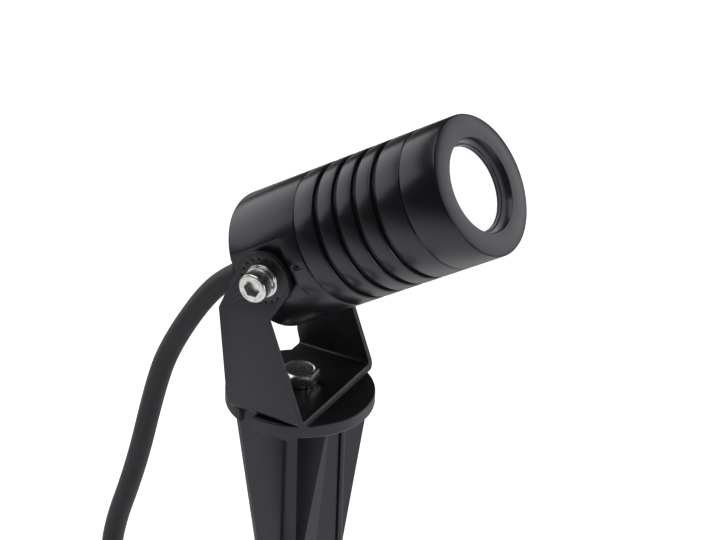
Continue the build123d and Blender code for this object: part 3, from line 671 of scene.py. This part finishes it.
@dataclass
class Studio:
    """Camera, floor, lamps and world.

    Attributes:
        place: The camera's place in metres.
        azimuth: Its heading in degrees, as are elevation and roll.
        lens: Focal length in millimetres, with sensor as its sensor's width.
        floor_size: Side of the floor in metres.
        floor_color: The floor's own colour.
        floor_seen: Light that the floor adds where the camera sees it.
        floor_mirrored: Light that it adds in reflections, near the object.
        floor_bright: Distance in metres where that light starts to fade, gone at floor_dark.
        sweep: Direction along which it also grows, from sweep_from to sweep_to in metres.
        surround: The world's light where the camera doesn't see it.
    """

    place: Point = (0.35539, -0.63644, 0.44395)
    azimuth: float = 27.81
    elevation: float = 28.48
    roll: float = 2.06
    lens: float = 131.20
    sensor: float = 36.0
    floor_size: float = 6.0
    floor_color: tuple[float, ...] = (0.80, 0.80, 0.80, 1.0)
    floor_seen: float = 0.80
    floor_mirrored: float = 0.75
    floor_bright: float = 0.28
    floor_dark: float = 0.75
    sweep: Point = (0.75, -0.66, 0.0)
    sweep_from: float = -0.12
    sweep_to: float = 0.03
    surround: float = 0.05

    def build(self) -> None:
        """Set up everything round the object."""
        self.camera()
        self.floor()
        self.world()
        self.lamps()
        bpy.context.scene.view_settings.view_transform = "Standard"

    def camera(self) -> None:
        """Aim the camera by heading, elevation and roll."""
        turn, rise, roll = (math.radians(a) for a in (self.azimuth, self.elevation, self.roll))
        back = Vector(
            (math.sin(turn) * math.cos(rise), -math.cos(turn) * math.cos(rise), math.sin(rise))
        )
        right = Vector((math.cos(turn), math.sin(turn), 0.0))
        up = back.cross(right)
        right, up = (
            right * math.cos(roll) + up * math.sin(roll),
            up * math.cos(roll) - right * math.sin(roll),
        )
        Bench.clear()
        bpy.ops.object.camera_add(location=self.place)
        camera = bpy.context.object
        camera.name = "camera"
        camera.data.sensor_width = self.sensor
        camera.data.lens = self.lens
        camera.data.clip_start = 0.05
        camera.data.clip_end = 50.0
        turned = Matrix((right, up, back)).transposed().to_4x4()
        camera.matrix_world = Matrix.Translation(Vector(self.place)) @ turned
        bpy.context.scene.camera = camera

    def floor(self) -> None:
        """Lay a pale floor that keeps the object's shadow and adds painted reflection light near the object,
        seen only in glossy rays.
        """
        Bench.clear()
        bpy.ops.mesh.primitive_plane_add(size=self.floor_size, location=(0.0, 0.0, FLOOR * MM))
        floor = bpy.context.object
        floor.name = "floor"
        made = bpy.data.materials.new("pale_floor")
        wires = Wires(made, True)
        path = wires.add("LightPath", {}).outputs
        where = wires.add("TexCoord", {}).outputs["Object"]
        reach = wires.add("VectorMath", {0: where}, operation="LENGTH").outputs["Value"]
        ends = {"From Min": self.floor_bright, "From Max": self.floor_dark}
        fade = wires.add("MapRange", {**ends, "To Min": self.floor_mirrored, "To Max": 0.0, "Value": reach})
        # The painted reflection light that the floor adds also fades towards the object's left rear and is
        # brightest towards its front right.
        across = wires.add("VectorMath", {0: where, 1: self.sweep}, operation="DOT_PRODUCT")
        ends = {"From Min": self.sweep_from, "From Max": self.sweep_to}
        sweep = wires.add("MapRange", {**ends, "Value": across.outputs["Value"]})
        lit = wires.math("MULTIPLY", fade.outputs["Result"], sweep.outputs["Result"])
        mirrored = wires.math("MULTIPLY", path["Is Glossy Ray"], lit)
        amount = wires.math("MULTIPLY_ADD", path["Is Camera Ray"], self.floor_seen, mirrored)
        matte = wires.add("BsdfDiffuse", {"Color": self.floor_color})
        lift = wires.add("Emission", {"Color": WHITE, "Strength": amount})
        both = wires.add("AddShader", {0: matte.outputs[0], 1: lift.outputs[0]})
        wires.add("OutputMaterial", {"Surface": both.outputs[0]})
        floor.data.materials.append(made)

    def world(self) -> None:
        """Surround the object with a soft studio: white where the camera or glass sees it, dim for every
        other ray.
        """
        world = bpy.data.worlds.new("studio")
        bpy.context.scene.world = world
        wires = Wires(world, True)
        path = wires.add("LightPath", {}).outputs
        seen = wires.math("MAXIMUM", path["Is Camera Ray"], path["Is Transmission Ray"])
        level = wires.add("Mix", {"A": self.surround, "B": 1.0, "Factor": seen}, data_type="FLOAT")
        ground = wires.add("Background", {"Color": WHITE, "Strength": level.outputs["Result"]})
        wires.add("OutputWorld", {"Surface": ground.outputs[0]})

    def lamps(self) -> None:
        """Hang the soft boxes."""
        self.lamp("top_box", (-0.35, -0.05, 1.1), (0.0, 0.0, 0.0), 1.0, 1.0, 6.0)
        self.lamp("left_box", (-1.38, 0.10, 0.46), (0.0, 0.05, 0.08), 1.9, 0.8, 6.8)
        self.lamp("right_box", (0.92, 1.15, 0.30), (0.05, 0.0, 0.08), 1.0, 0.8, 3.9)
        self.lamp("low_box", (1.1, -0.3, 0.12), (0.0, 0.0, -0.03), 0.5, 0.4, 2.6)

    def lamp(self, name: str, place: Point, aim: Point, width: float, height: float, power: float) -> None:
        """Hang one rectangular soft box.

        Args:
            name: Its name.
            place: Its place in metres.
            aim: The point it faces.
            width: Its width in metres.
            height: Its height in metres.
            power: Its power in watts.
        """
        Bench.clear()
        bpy.ops.object.light_add(type="AREA", location=place)
        lamp = bpy.context.object
        lamp.name = name
        lamp.data.shape = "RECTANGLE"
        lamp.data.size = width
        lamp.data.size_y = height
        lamp.data.energy = power
        lamp.rotation_euler = (Vector(aim) - Vector(place)).to_track_quat("-Z", "Y").to_euler()


# ---- head ---------------------------------------------------------------------------------


@dataclass
class Head:
    """Turned shells of the head: rear housing, grooved barrel and front ring."""

    radius: float = 22.5
    rear: float = -11.1
    rear_seam: float = 16.9
    front_seam: float = 59.3
    front: float = 73.0
    edge: float = 0.35
    rear_rounding: float = 1.2
    groove_depth: float = 1.5
    groove_width: float = 2.0
    groove_pitch: float = 7.76
    groove_count: int = 4
    front_band: float = 9.4
    flat: float = 20.1
    flat_step: float = 10.1
    seat: float = 21.8
    seat_radius: float = 5.5
    spigot: float = 18.2
    spigot_start: float = 8.9
    front_spigot: float = 20.0
    front_spigot_length: float = 6.0
    bore: float = 15.5
    rear_bore: float = 14.0
    rear_wall: float = 4.0
    opening: float = 15.0
    opening_inner: float = 13.5
    bevel_depth: float = 3.2
    lip: float = 4.2
    front_rounding: float = 0.5
    grub_at: float = 13.2
    grub_radius: float = 1.05
    flat_reach: float = 20.0
    sunk: float = 0.5
    clear: float = 0.05
    pocket: float = 17.6
    bulkhead: float = 52.0
    recess: float = 18.1
    recess_gap: float = 0.2
    mouth_step: float = 0.35
    face_edge: float = 0.15

    def build(self) -> None:
        """Model the three shells."""
        self.rear_housing()
        self.barrel()
        self.front_ring()

    def rear_housing(self) -> None:
        """Rear cup with a milled flat on each side and the grub screw's hole."""
        corner = [
            (
                self.radius - self.rear_rounding * (1 - math.cos(a)),
                self.rear + self.rear_rounding * (1 - math.sin(a)),
            )
            for a in (math.pi / 2, math.pi / 3, math.pi / 6, 0.0)
        ]
        outline = [
            (0, self.rear),
            *corner,
            (self.radius, self.rear_seam - self.edge),
            (self.radius - self.edge, self.rear_seam),
            (self.spigot + self.clear, self.rear_seam),
            (self.spigot + self.clear, self.spigot_start - self.clear),
            (self.rear_bore, self.spigot_start - self.clear),
            (self.rear_bore, self.rear + self.rear_wall),
            (0, self.rear + self.rear_wall),
        ]
        cup = Bench.turned("rear_shell", outline)
        for side in Side:
            middle = side.value * (self.flat + self.radius / 2)
            long = self.flat_step + self.flat_reach
            box = self.cutter_box(
                (2 * self.radius, self.radius, long), (0.0, middle, self.flat_step - long / 2)
            )
            Bench.combine(cup, box, "DIFFERENCE")
            seat = Bench.rod("seat", self.seat_radius, self.flat - self.sunk, self.seat, 64)
            Bench.place(seat, side.outwards)
            Bench.combine(cup, seat, "UNION")
        hole = Bench.rod("hole", self.grub_radius, self.spigot + 1, 30, 32)
        Bench.place(hole, Matrix.Translation((0, 0, self.grub_at * MM)) @ Side.NEAR.outwards)
        Bench.combine(cup, hole, "DIFFERENCE")
        Bench.soften(cup, 0.12, 2, 25.0)
        Bench.place(cup, HEAD_PLACE)
        dress(cup, ANODISED)
        mount(cup, Body.HEAD, "black_anodised", "rear_housing")

    @staticmethod
    def cutter_box(size: Point, middle: Point) -> bpy.types.Object:
        """A box that a boolean cuts with.

        Args:
            size: Its three sizes.
            middle: Its middle.

        Returns:
            The box.
        """
        Bench.clear()
        bpy.ops.mesh.primitive_cube_add(size=MM, location=Vector(middle) * MM)
        box = bpy.context.object
        box.scale = size
        bpy.ops.object.transform_apply(location=True, rotation=True, scale=True)
        return box

    def barrel(self) -> None:
        """Grooved middle with a spigot at each end."""
        r, e = self.radius, self.edge
        outline = [
            (self.bore, self.spigot_start),
            (self.spigot, self.spigot_start),
            (self.spigot, self.rear_seam),
            (r - e, self.rear_seam),
            (r, self.rear_seam + e),
        ]
        floor = r - self.groove_depth
        for k in reversed(range(self.groove_count)):
            front = self.front_seam - self.front_band - k * self.groove_pitch
            rear = front - self.groove_width
            outline += [(r, rear - e), (r - e, rear), (floor, rear)]
            outline += [(floor, front), (r - e, front), (r, front + e)]
        outline += [
            (r, self.front_seam - e),
            (r - e, self.front_seam),
            (self.front_spigot, self.front_seam),
            (self.front_spigot, self.front_seam + self.front_spigot_length),
            (self.pocket, self.front_seam + self.front_spigot_length),
            (self.pocket, self.bulkhead),
            (self.bore, self.bulkhead),
            (self.bore, self.spigot_start),
        ]
        barrel = Bench.turned("grooved_barrel", outline)
        Bench.soften(barrel, 0.1, 2, 25.0)
        Bench.place(barrel, HEAD_PLACE)
        dress(barrel, ANODISED)
        mount(barrel, Body.HEAD, "black_anodised", "heat_sink_barrel")

    def front_ring(self) -> None:
        """Front ring with its flat face and bevelled opening."""
        r, e = self.radius, self.edge
        lip = self.front - self.lip
        bevel = self.front - self.bevel_depth
        seat, wall = self.front_spigot + self.clear, self.opening_inner + self.mouth_step
        end = self.front_seam + self.front_spigot_length + self.recess_gap
        outline = [
            (seat, self.front_seam),
            (r - e, self.front_seam),
            (r, self.front_seam + e),
            (r, self.front - self.front_rounding),
            (r - self.face_edge, self.front - self.face_edge),
            (r - self.front_rounding, self.front),
            (self.opening, self.front),
            (wall, bevel + 0.2),
            (wall, bevel),
            (self.opening_inner, bevel),
            (self.opening_inner, lip),
            (self.recess, lip),
            (self.recess, end),
            (seat, end),
            (seat, self.front_seam),
        ]
        ring = Bench.turned("front_ring", outline, 160)
        Bench.soften(ring, 0.12, 3, 25.0)
        Bench.place(ring, HEAD_PLACE)
        dress(ring, ANODISED)
        mount(ring, Body.HEAD, "black_anodised", "front_bezel")


# ---- yoke ---------------------------------------------------------------------------------


@dataclass
class Yoke:
    """U bracket of bent sheet with a waist and a rounded lug at the top of each arm."""

    width: float = 47.7
    sheet: float = 2.0
    bend: float = 3.0
    base: float = 4.7
    rear: float = -12.3
    front: float = 14.4
    shoulder: tuple[float, float] = (-16.8, 40.8)
    heel: tuple[float, float] = (-13.9, 11.2)
    waist: tuple[float, float] = (1.1, 40.3)
    lug: float = 9.2
    bolt_hole: float = 3.08
    mark: float = 0.55
    mark_ring: float = 7.3
    mark_depth: float = 0.3
    mark_count: int = 14
    mark_first: float = -40.0
    mark_step: float = 20.0
    top: float = 70.0
    reach: float = 40.0

    def tangent(self, x: float, z: float, side: int) -> float:
        """Find where a line from a corner touches the lug.

        Args:
            x: The corner's x.
            z: The corner's z.
            side: Which of the two tangents.

        Returns:
            The heading of the touching point from the pivot.
        """
        dx, dz = x - PIVOT.x / MM, z - PIVOT.z / MM
        return math.atan2(dz, dx) + side * (math.pi / 2 - math.asin(self.lug / math.hypot(dx, dz)))

    def side_outline(self) -> Outline:
        """Side view of the bracket, once round, as (x, z)."""
        first = self.tangent(*self.waist, 1)
        last = self.tangent(*self.shoulder, -1) + 2 * math.pi
        last -= 2 * math.pi * (last - first > 2 * math.pi)
        arc = [first + (last - first) * k / 56 for k in range(57)]
        round_top = [
            (PIVOT.x / MM + self.lug * math.cos(a), PIVOT.z / MM + self.lug * math.sin(a)) for a in arc
        ]
        return [
            *round_top,
            self.shoulder,
            self.heel,
            (self.rear, self.base),
            (self.front, self.base),
            self.waist,
        ]

    def channel_outline(self) -> Outline:
        """Front view of the bracket, once round, as (y, z)."""
        top, half, inner = self.top, self.width / 2, self.bend - self.sheet
        turns = [math.pi / 2 * k / 8 for k in range(9)]
        right = [
            (half - self.bend * (1 - math.sin(a)), self.base + self.bend * (1 - math.cos(a))) for a in turns
        ]
        floor = self.base + self.sheet
        wall = half - self.sheet
        back = [(wall - inner * (1 - math.sin(a)), floor + inner * (1 - math.cos(a))) for a in turns]
        outside = [*[(-y, z) for y, z in reversed(right)], *right]
        inside = [*reversed(back), *[(-y, z) for y, z in back]]
        return [(-half, top), *outside, (half, top), (wall, top), *inside, (-wall, top)]

    def build(self) -> None:
        """Bend the sheet, cut its side view and pierce it."""
        bracket = Bench.slab("u_bracket", self.channel_outline(), -self.reach, self.reach)
        Bench.place(bracket, Matrix(((0, 0, 1, 0), (1, 0, 0, 0), (0, 1, 0, 0), (0, 0, 0, 1))))
        side = Bench.slab("side", self.side_outline(), -self.reach, self.reach)
        Bench.place(side, Side.NEAR.outwards)
        Bench.combine(bracket, side, "INTERSECT")
        hole = Bench.rod("hole", self.bolt_hole, 0, 12, 48)
        Bench.combine(bracket, hole, "DIFFERENCE")
        across = Bench.rod("hole", self.bolt_hole, -self.reach, self.reach, 48)
        Bench.place(across, Matrix.Translation(PIVOT) @ Side.NEAR.outwards)
        Bench.combine(bracket, across, "DIFFERENCE")
        Bench.combine(bracket, self.marks(), "DIFFERENCE")
        Bench.soften(bracket, 0.22, 3, 28.0)
        dress(bracket, COATED_SHEET)
        mount(bracket, Body.YOKE, "black_sheet", "yoke_bracket")

    def marks(self) -> bpy.types.Object:
        """The ring of small marks round each lug, as one cutter."""
        dots = []
        half = self.width / 2
        for side in Side:
            for k in range(self.mark_count):
                dot = Bench.rod("dot", self.mark, half - self.mark_depth, half + 1, 16)
                Bench.place(dot, Matrix.Translation((self.mark_ring * MM, 0, 0)))
                angle = self.mark_first + self.mark_step * k * side.value
                turn = Matrix.Rotation(math.radians(angle), 4, "Z")
                Bench.place(dot, Matrix.Translation(PIVOT) @ side.outwards @ turn)
                dots.append(dot)
        return Bench.join(dots, "marks")


# ---- fasteners ----------------------------------------------------------------------------


@dataclass
class PivotScrews:
    """Knurled socket screw, split washer and flat washer on each side."""

    arm: float = 23.85
    washer: float = 5.5
    washer_thick: float = 1.0
    spring: float = 5.1
    spring_thick: float = 1.4
    split: float = 0.8
    head: float = 4.8
    head_high: float = 4.4
    shank: float = 3.0
    shank_long: float = 10.0
    socket: float = 5.0
    socket_deep: float = 2.2
    knurls: int = 48
    knurl_deep: float = 0.16

    def build(self) -> None:
        """Model one of each piece and set it on both sides."""
        spring_low = self.arm + self.washer_thick
        low = spring_low + self.spring_thick
        hole = self.shank + HOLE_GAP
        washer = self.washer_ring("flat", self.washer, hole, self.arm, self.washer_thick)
        spring = self.washer_ring("split", self.spring, hole, spring_low, self.spring_thick)
        gap = Head.cutter_box((self.spring, self.split, 3.0), (self.spring / 2 + hole / 2, 0.0, low - 0.7))
        Bench.combine(spring, gap, "DIFFERENCE")
        Bench.soften(spring, 0.15, 2)
        screw = self.screw(low)
        for one, name, node in (
            (washer, "flat_washers", "pivot_washers"),
            (spring, "split_washers", "pivot_spring_washers"),
            (screw, "knurled_screws", "pivot_screws"),
        ):
            far = Bench.copy(one, Matrix.Translation(PIVOT) @ Side.FAR.outwards)
            Bench.place(one, Matrix.Translation(PIVOT) @ Side.NEAR.outwards)
            pair = Bench.join([one, far], name)
            dress(pair, STAINLESS_PIVOT)
            mount(pair, Body.HEAD, "stainless", node)

    @staticmethod
    def washer_ring(name: str, outer: float, inner: float, low: float, thick: float) -> bpy.types.Object:
        """A flat ring with broken edges.

        Args:
            name: Its name.
            outer: Outside radius.
            inner: Inside radius.
            low: Height of its underside.
            thick: Thickness.

        Returns:
            The ring.
        """
        b = 0.15
        high = low + thick
        outline = [(inner, low), (outer - b, low), (outer, low + b), (outer, high - b), (outer - b, high)]
        made = Bench.turned(name, [*outline, (inner, high), (inner, low)], 96)
        Bench.smooth(made, 50.0)
        return made

    def screw(self, low: float) -> bpy.types.Object:
        """Cap screw with a knurled band, a ringed face and a hexagon socket.

        Args:
            low: Height of the head's underside.

        Returns:
            The screw.
        """
        r, top = self.head, low + self.head_high
        outline = [
            (0, low - self.shank_long),
            (self.shank - 0.5, low - self.shank_long),
            (self.shank, low - self.shank_long + 0.5),
            (self.shank, low),
            (r - 0.25, low),
            (r - 0.05, low + 0.25),
            (r - 0.05, low + 0.55),
            (r, low + 0.65),
            (r, top - 0.95),
            (r - 0.05, top - 0.85),
            (r - 0.05, top - 0.45),
            (r - 0.2, top - 0.15),
            (r - 0.5, top),
            (r - 0.95, top),
            (r - 1.05, top - 0.12),
            (r - 1.25, top - 0.12),
            (r - 1.35, top),
            (0, top),
        ]
        made = Bench.turned("screw", outline, 2 * self.knurls)
        for vertex in made.data.vertices:
            reach = math.hypot(vertex.co.x, vertex.co.y)
            if reach > (r - 0.02) * MM:
                turn = math.atan2(vertex.co.y, vertex.co.x) / (math.pi / self.knurls)
                if round(turn) % 2:
                    vertex.co.x *= 1 - self.knurl_deep / r
                    vertex.co.y *= 1 - self.knurl_deep / r
        socket = Bench.slab("socket", Bench.hexagon(self.socket), top - self.socket_deep, top + 2)
        Bench.combine(made, socket, "DIFFERENCE")
        Bench.smooth(made, 25.0)
        return made


@dataclass
class BaseBolt:
    """Hexagon bolt through the bracket's base, with its split washer."""

    seat: float = 6.7
    washer: float = 5.4
    washer_thick: float = 1.4
    across: float = 11.0
    high: float = 3.6
    shank: float = 3.0
    shank_long: float = 16.0
    turn: float = -29.0
    split: float = 0.8
    split_turn: float = -40.0

    def build(self) -> None:
        """Model the bolt and its washer."""
        low = self.seat + self.washer_thick
        top = low + self.high
        corner = self.across / 2 / math.cos(math.pi / 6)
        bolt = Bench.slab("hexagon_bolt", Bench.hexagon(self.across, self.turn), low, top)
        cone = [
            (0, low - 1),
            (corner + 1, low - 1),
            (corner + 1, top - 0.95),
            (corner + 0.02, top - 0.7),
            (self.across / 2 - 0.2, top),
            (self.across / 2 - 0.9, top),
            (self.across / 2 - 1.2, top - 0.25),
            (0, top - 0.25),
        ]
        Bench.combine(bolt, Bench.turned("cone", cone, 128), "INTERSECT")
        shank = [
            (0, low - self.shank_long),
            (self.shank - 0.6, low - self.shank_long),
            (self.shank, low - self.shank_long + 0.6),
            (self.shank, low + 0.5),
            (0, low + 0.5),
        ]
        Bench.combine(bolt, Bench.turned("shank", shank, 64), "UNION")
        Bench.soften(bolt, 0.12, 2, 28.0)
        dress(bolt, STAINLESS_BOLT)
        mount(bolt, Body.SPIKE, "stainless", "base_bolt")
        hole = self.shank + HOLE_GAP
        ring = PivotScrews.washer_ring("bolt_washer", self.washer, hole, self.seat, self.washer_thick)
        gap = Head.cutter_box((self.washer, self.split, 4.0), ((self.washer + hole) / 2, 0.0, low))
        Bench.place(gap, Matrix.Rotation(math.radians(self.split_turn), 4, "Z"))
        Bench.combine(ring, gap, "DIFFERENCE")
        Bench.soften(ring, 0.1, 2)
        dress(ring, STAINLESS_BOLT)
        mount(ring, Body.SPIKE, "stainless", "base_spring_washer")


# ---- optic --------------------------------------------------------------------------------


@dataclass
class Optic:
    """The lit lens with its domed front."""

    radius: float = 13.4
    rim: float = 68.3
    rise: float = 2.2
    back: float = 57.9
    back_radius: float = 6.6
    shoulder: float = 66.6

    def build(self) -> None:
        """Turn the lens."""
        ball = (self.radius**2 + self.rise**2) / (2 * self.rise)
        reach = math.asin(self.radius / ball)
        dome = [
            (ball * math.sin(reach * k / 12), self.rim + self.rise - ball * (1 - math.cos(reach * k / 12)))
            for k in range(12, 0, -1)
        ]
        outline = [
            (0, self.back),
            (self.back_radius, self.back),
            (self.radius, self.shoulder),
            *dome,
            (0, self.rim + self.rise),
        ]
        lens = Bench.turned("domed_lens", outline, 128)
        Bench.smooth(lens, 30.0)
        Bench.place(lens, HEAD_PLACE)
        dress(lens, LENS_LIT)
        mount(lens, Body.HEAD, "lens_glass", "lens")


# ---- lead ---------------------------------------------------------------------------------


@dataclass
class Lead:
    """The rubber lead: out of the gland, down to the ground and into its coil."""

    diameter: float = 7.5
    low: float = -143.25
    coil_radius: float = 50.0
    pitch: float = 8.2
    half_turns: int = 4
    steps: int = 8
    tail: float = 12.0
    route: list[Point] = field(
        default_factory=lambda: [
            (-17.814, 0.0, 44.141),
            (-25.809, 0.0, 39.009),
            (-36.5, 0.0, 28.2),
            (-50.6, 0.0, 3.8),
            (-56.3, 0.0, -13.8),
            (-64.0, 0.0, -47.1),
            (-75.1, 0.0, -79.6),
            (-76.4, 2.2, -102.1),
            (-79.1, -6.9, -124.1),
            (-81.9, -25.8, -138.7),
            (-83.9, -43.4, -143.25),
            (-85.0, -54.8, -143.25),
            (-85.0, -62.0, -143.25),
        ]
    )

    def coil_points(self) -> list[Point]:
        """Points of the coil's half turns, and of its short straight end."""
        x, y, z = self.route[-1]
        turns = [self.coil_radius - k * self.pitch / 2 for k in range(self.half_turns)]
        climb = turns[-1] - self.pitch / 2
        grow = 1 / (1 - (math.pi / self.steps) ** 2 / 8)
        points: list[Point] = []
        side = 1
        for radius in [*turns, climb, *reversed(turns)]:
            rise = self.pitch if radius == climb else 0.0
            for k in range(self.steps):
                angle = math.pi * (k + 0.5) / self.steps
                points.append(
                    (
                        x + side * radius * (1 - grow * math.cos(angle)),
                        y - side * radius * grow * math.sin(angle),
                        z + rise * (1 - math.cos(angle)) / 2,
                    )
                )
            x += 2 * side * radius
            z += rise
            side = -side
        return [*points, (x, y + self.tail / 2, z), (x, y + self.tail, z)]

    def curve(self, name: str, thick: bool) -> bpy.types.Object:
        """A NURBS curve along the whole route.

        Args:
            name: The curve's name.
            thick: Whether it has the lead's thickness.

        Returns:
            The curve object.
        """
        points = [*self.route[:-1], *self.coil_points()]
        data = bpy.data.curves.new(name, "CURVE")
        data.dimensions = "3D"
        line = data.splines.new("NURBS")
        line.points.add(len(points) - 1)
        for spot, place in zip(line.points, points):
            spot.co = (*(Vector(place) * MM), 1.0)
        line.order_u = 3
        line.use_endpoint_u = True
        line.resolution_u = 8
        if thick:
            data.bevel_depth = self.diameter / 2 * MM
            data.bevel_resolution = 6
            data.use_fill_caps = True
        made = bpy.data.objects.new(name, data)
        bpy.context.collection.objects.link(made)
        return made

    def build(self) -> None:
        """Model the lead as a tube on its curve."""
        thin = self.curve("lead_line", False)
        path = bpy.data.meshes.new_from_object(thin)
        bpy.data.objects.remove(thin, do_unlink=True)
        lead = self.curve("rubber_lead", True)
        Bench.take(lead)
        bpy.ops.object.convert(target="MESH")
        lead = bpy.context.object
        bpy.ops.object.mode_set(mode="EDIT")
        Bench.closed(lead)
        Bench.smooth(lead, 40.0)
        dress(lead, LEAD_RUBBER)
        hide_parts("lead_free", "lead_coil")
        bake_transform(lead)


# ---- everything that keeps its CAD shape -----------------------------------------------------


@dataclass
class Internals:
    """CAD nodes that show their own shape, with their finishes."""

    finishes: dict[str, Finish] = field(
        default_factory=lambda: {
            "spike_body": SPIKE_PLASTIC,
            "spike_insert": BRASS,
            "rear_o_ring": SEAL_RUBBER,
            "front_o_ring": SEAL_RUBBER,
            "lens_gasket": SEAL_RUBBER,
            "optic_holder": GREY_PLASTIC,
            "led_board": WHITE_BOARD,
            "thermal_pad": GREY_PAD,
            "led_emitter": PHOSPHOR,
            "led_board_screws": STAINLESS_BOLT,
            "driver_board": GREEN_BOARD,
            "driver_components": CHIP_BLACK,
            "board_rails": GREY_PLASTIC,
            "led_wires": RED_WIRE,
            "supply_wires": BROWN_WIRE,
            "grub_screw": BLACK_STEEL,
            "gland_body": NYLON,
            "gland_seal": SEAL_RUBBER,
            "gland_nut": NYLON,
            "lead_sleeve": SEAL_RUBBER,
            "lead_entry": LEAD_RUBBER,
            "lead_tie": NYLON,
            "lead_cores": BROWN_WIRE,
            "core_ferrules": TINNED,
        }
    )

    def build(self) -> None:
        """Dress each node."""
        for name, finish in self.finishes.items():
            dress_node(name, finish)


def main() -> None:
    """Build the scene in order, logging each piece that rides on a body."""
    logging.basicConfig(level=logging.INFO, format="%(message)s")
    Studio().build()
    Lead().build()
    Head().build()
    Yoke().build()
    PivotScrews().build()
    BaseBolt().build()
    Optic().build()
    Internals().build()


if __name__ == "__main__":
    main()
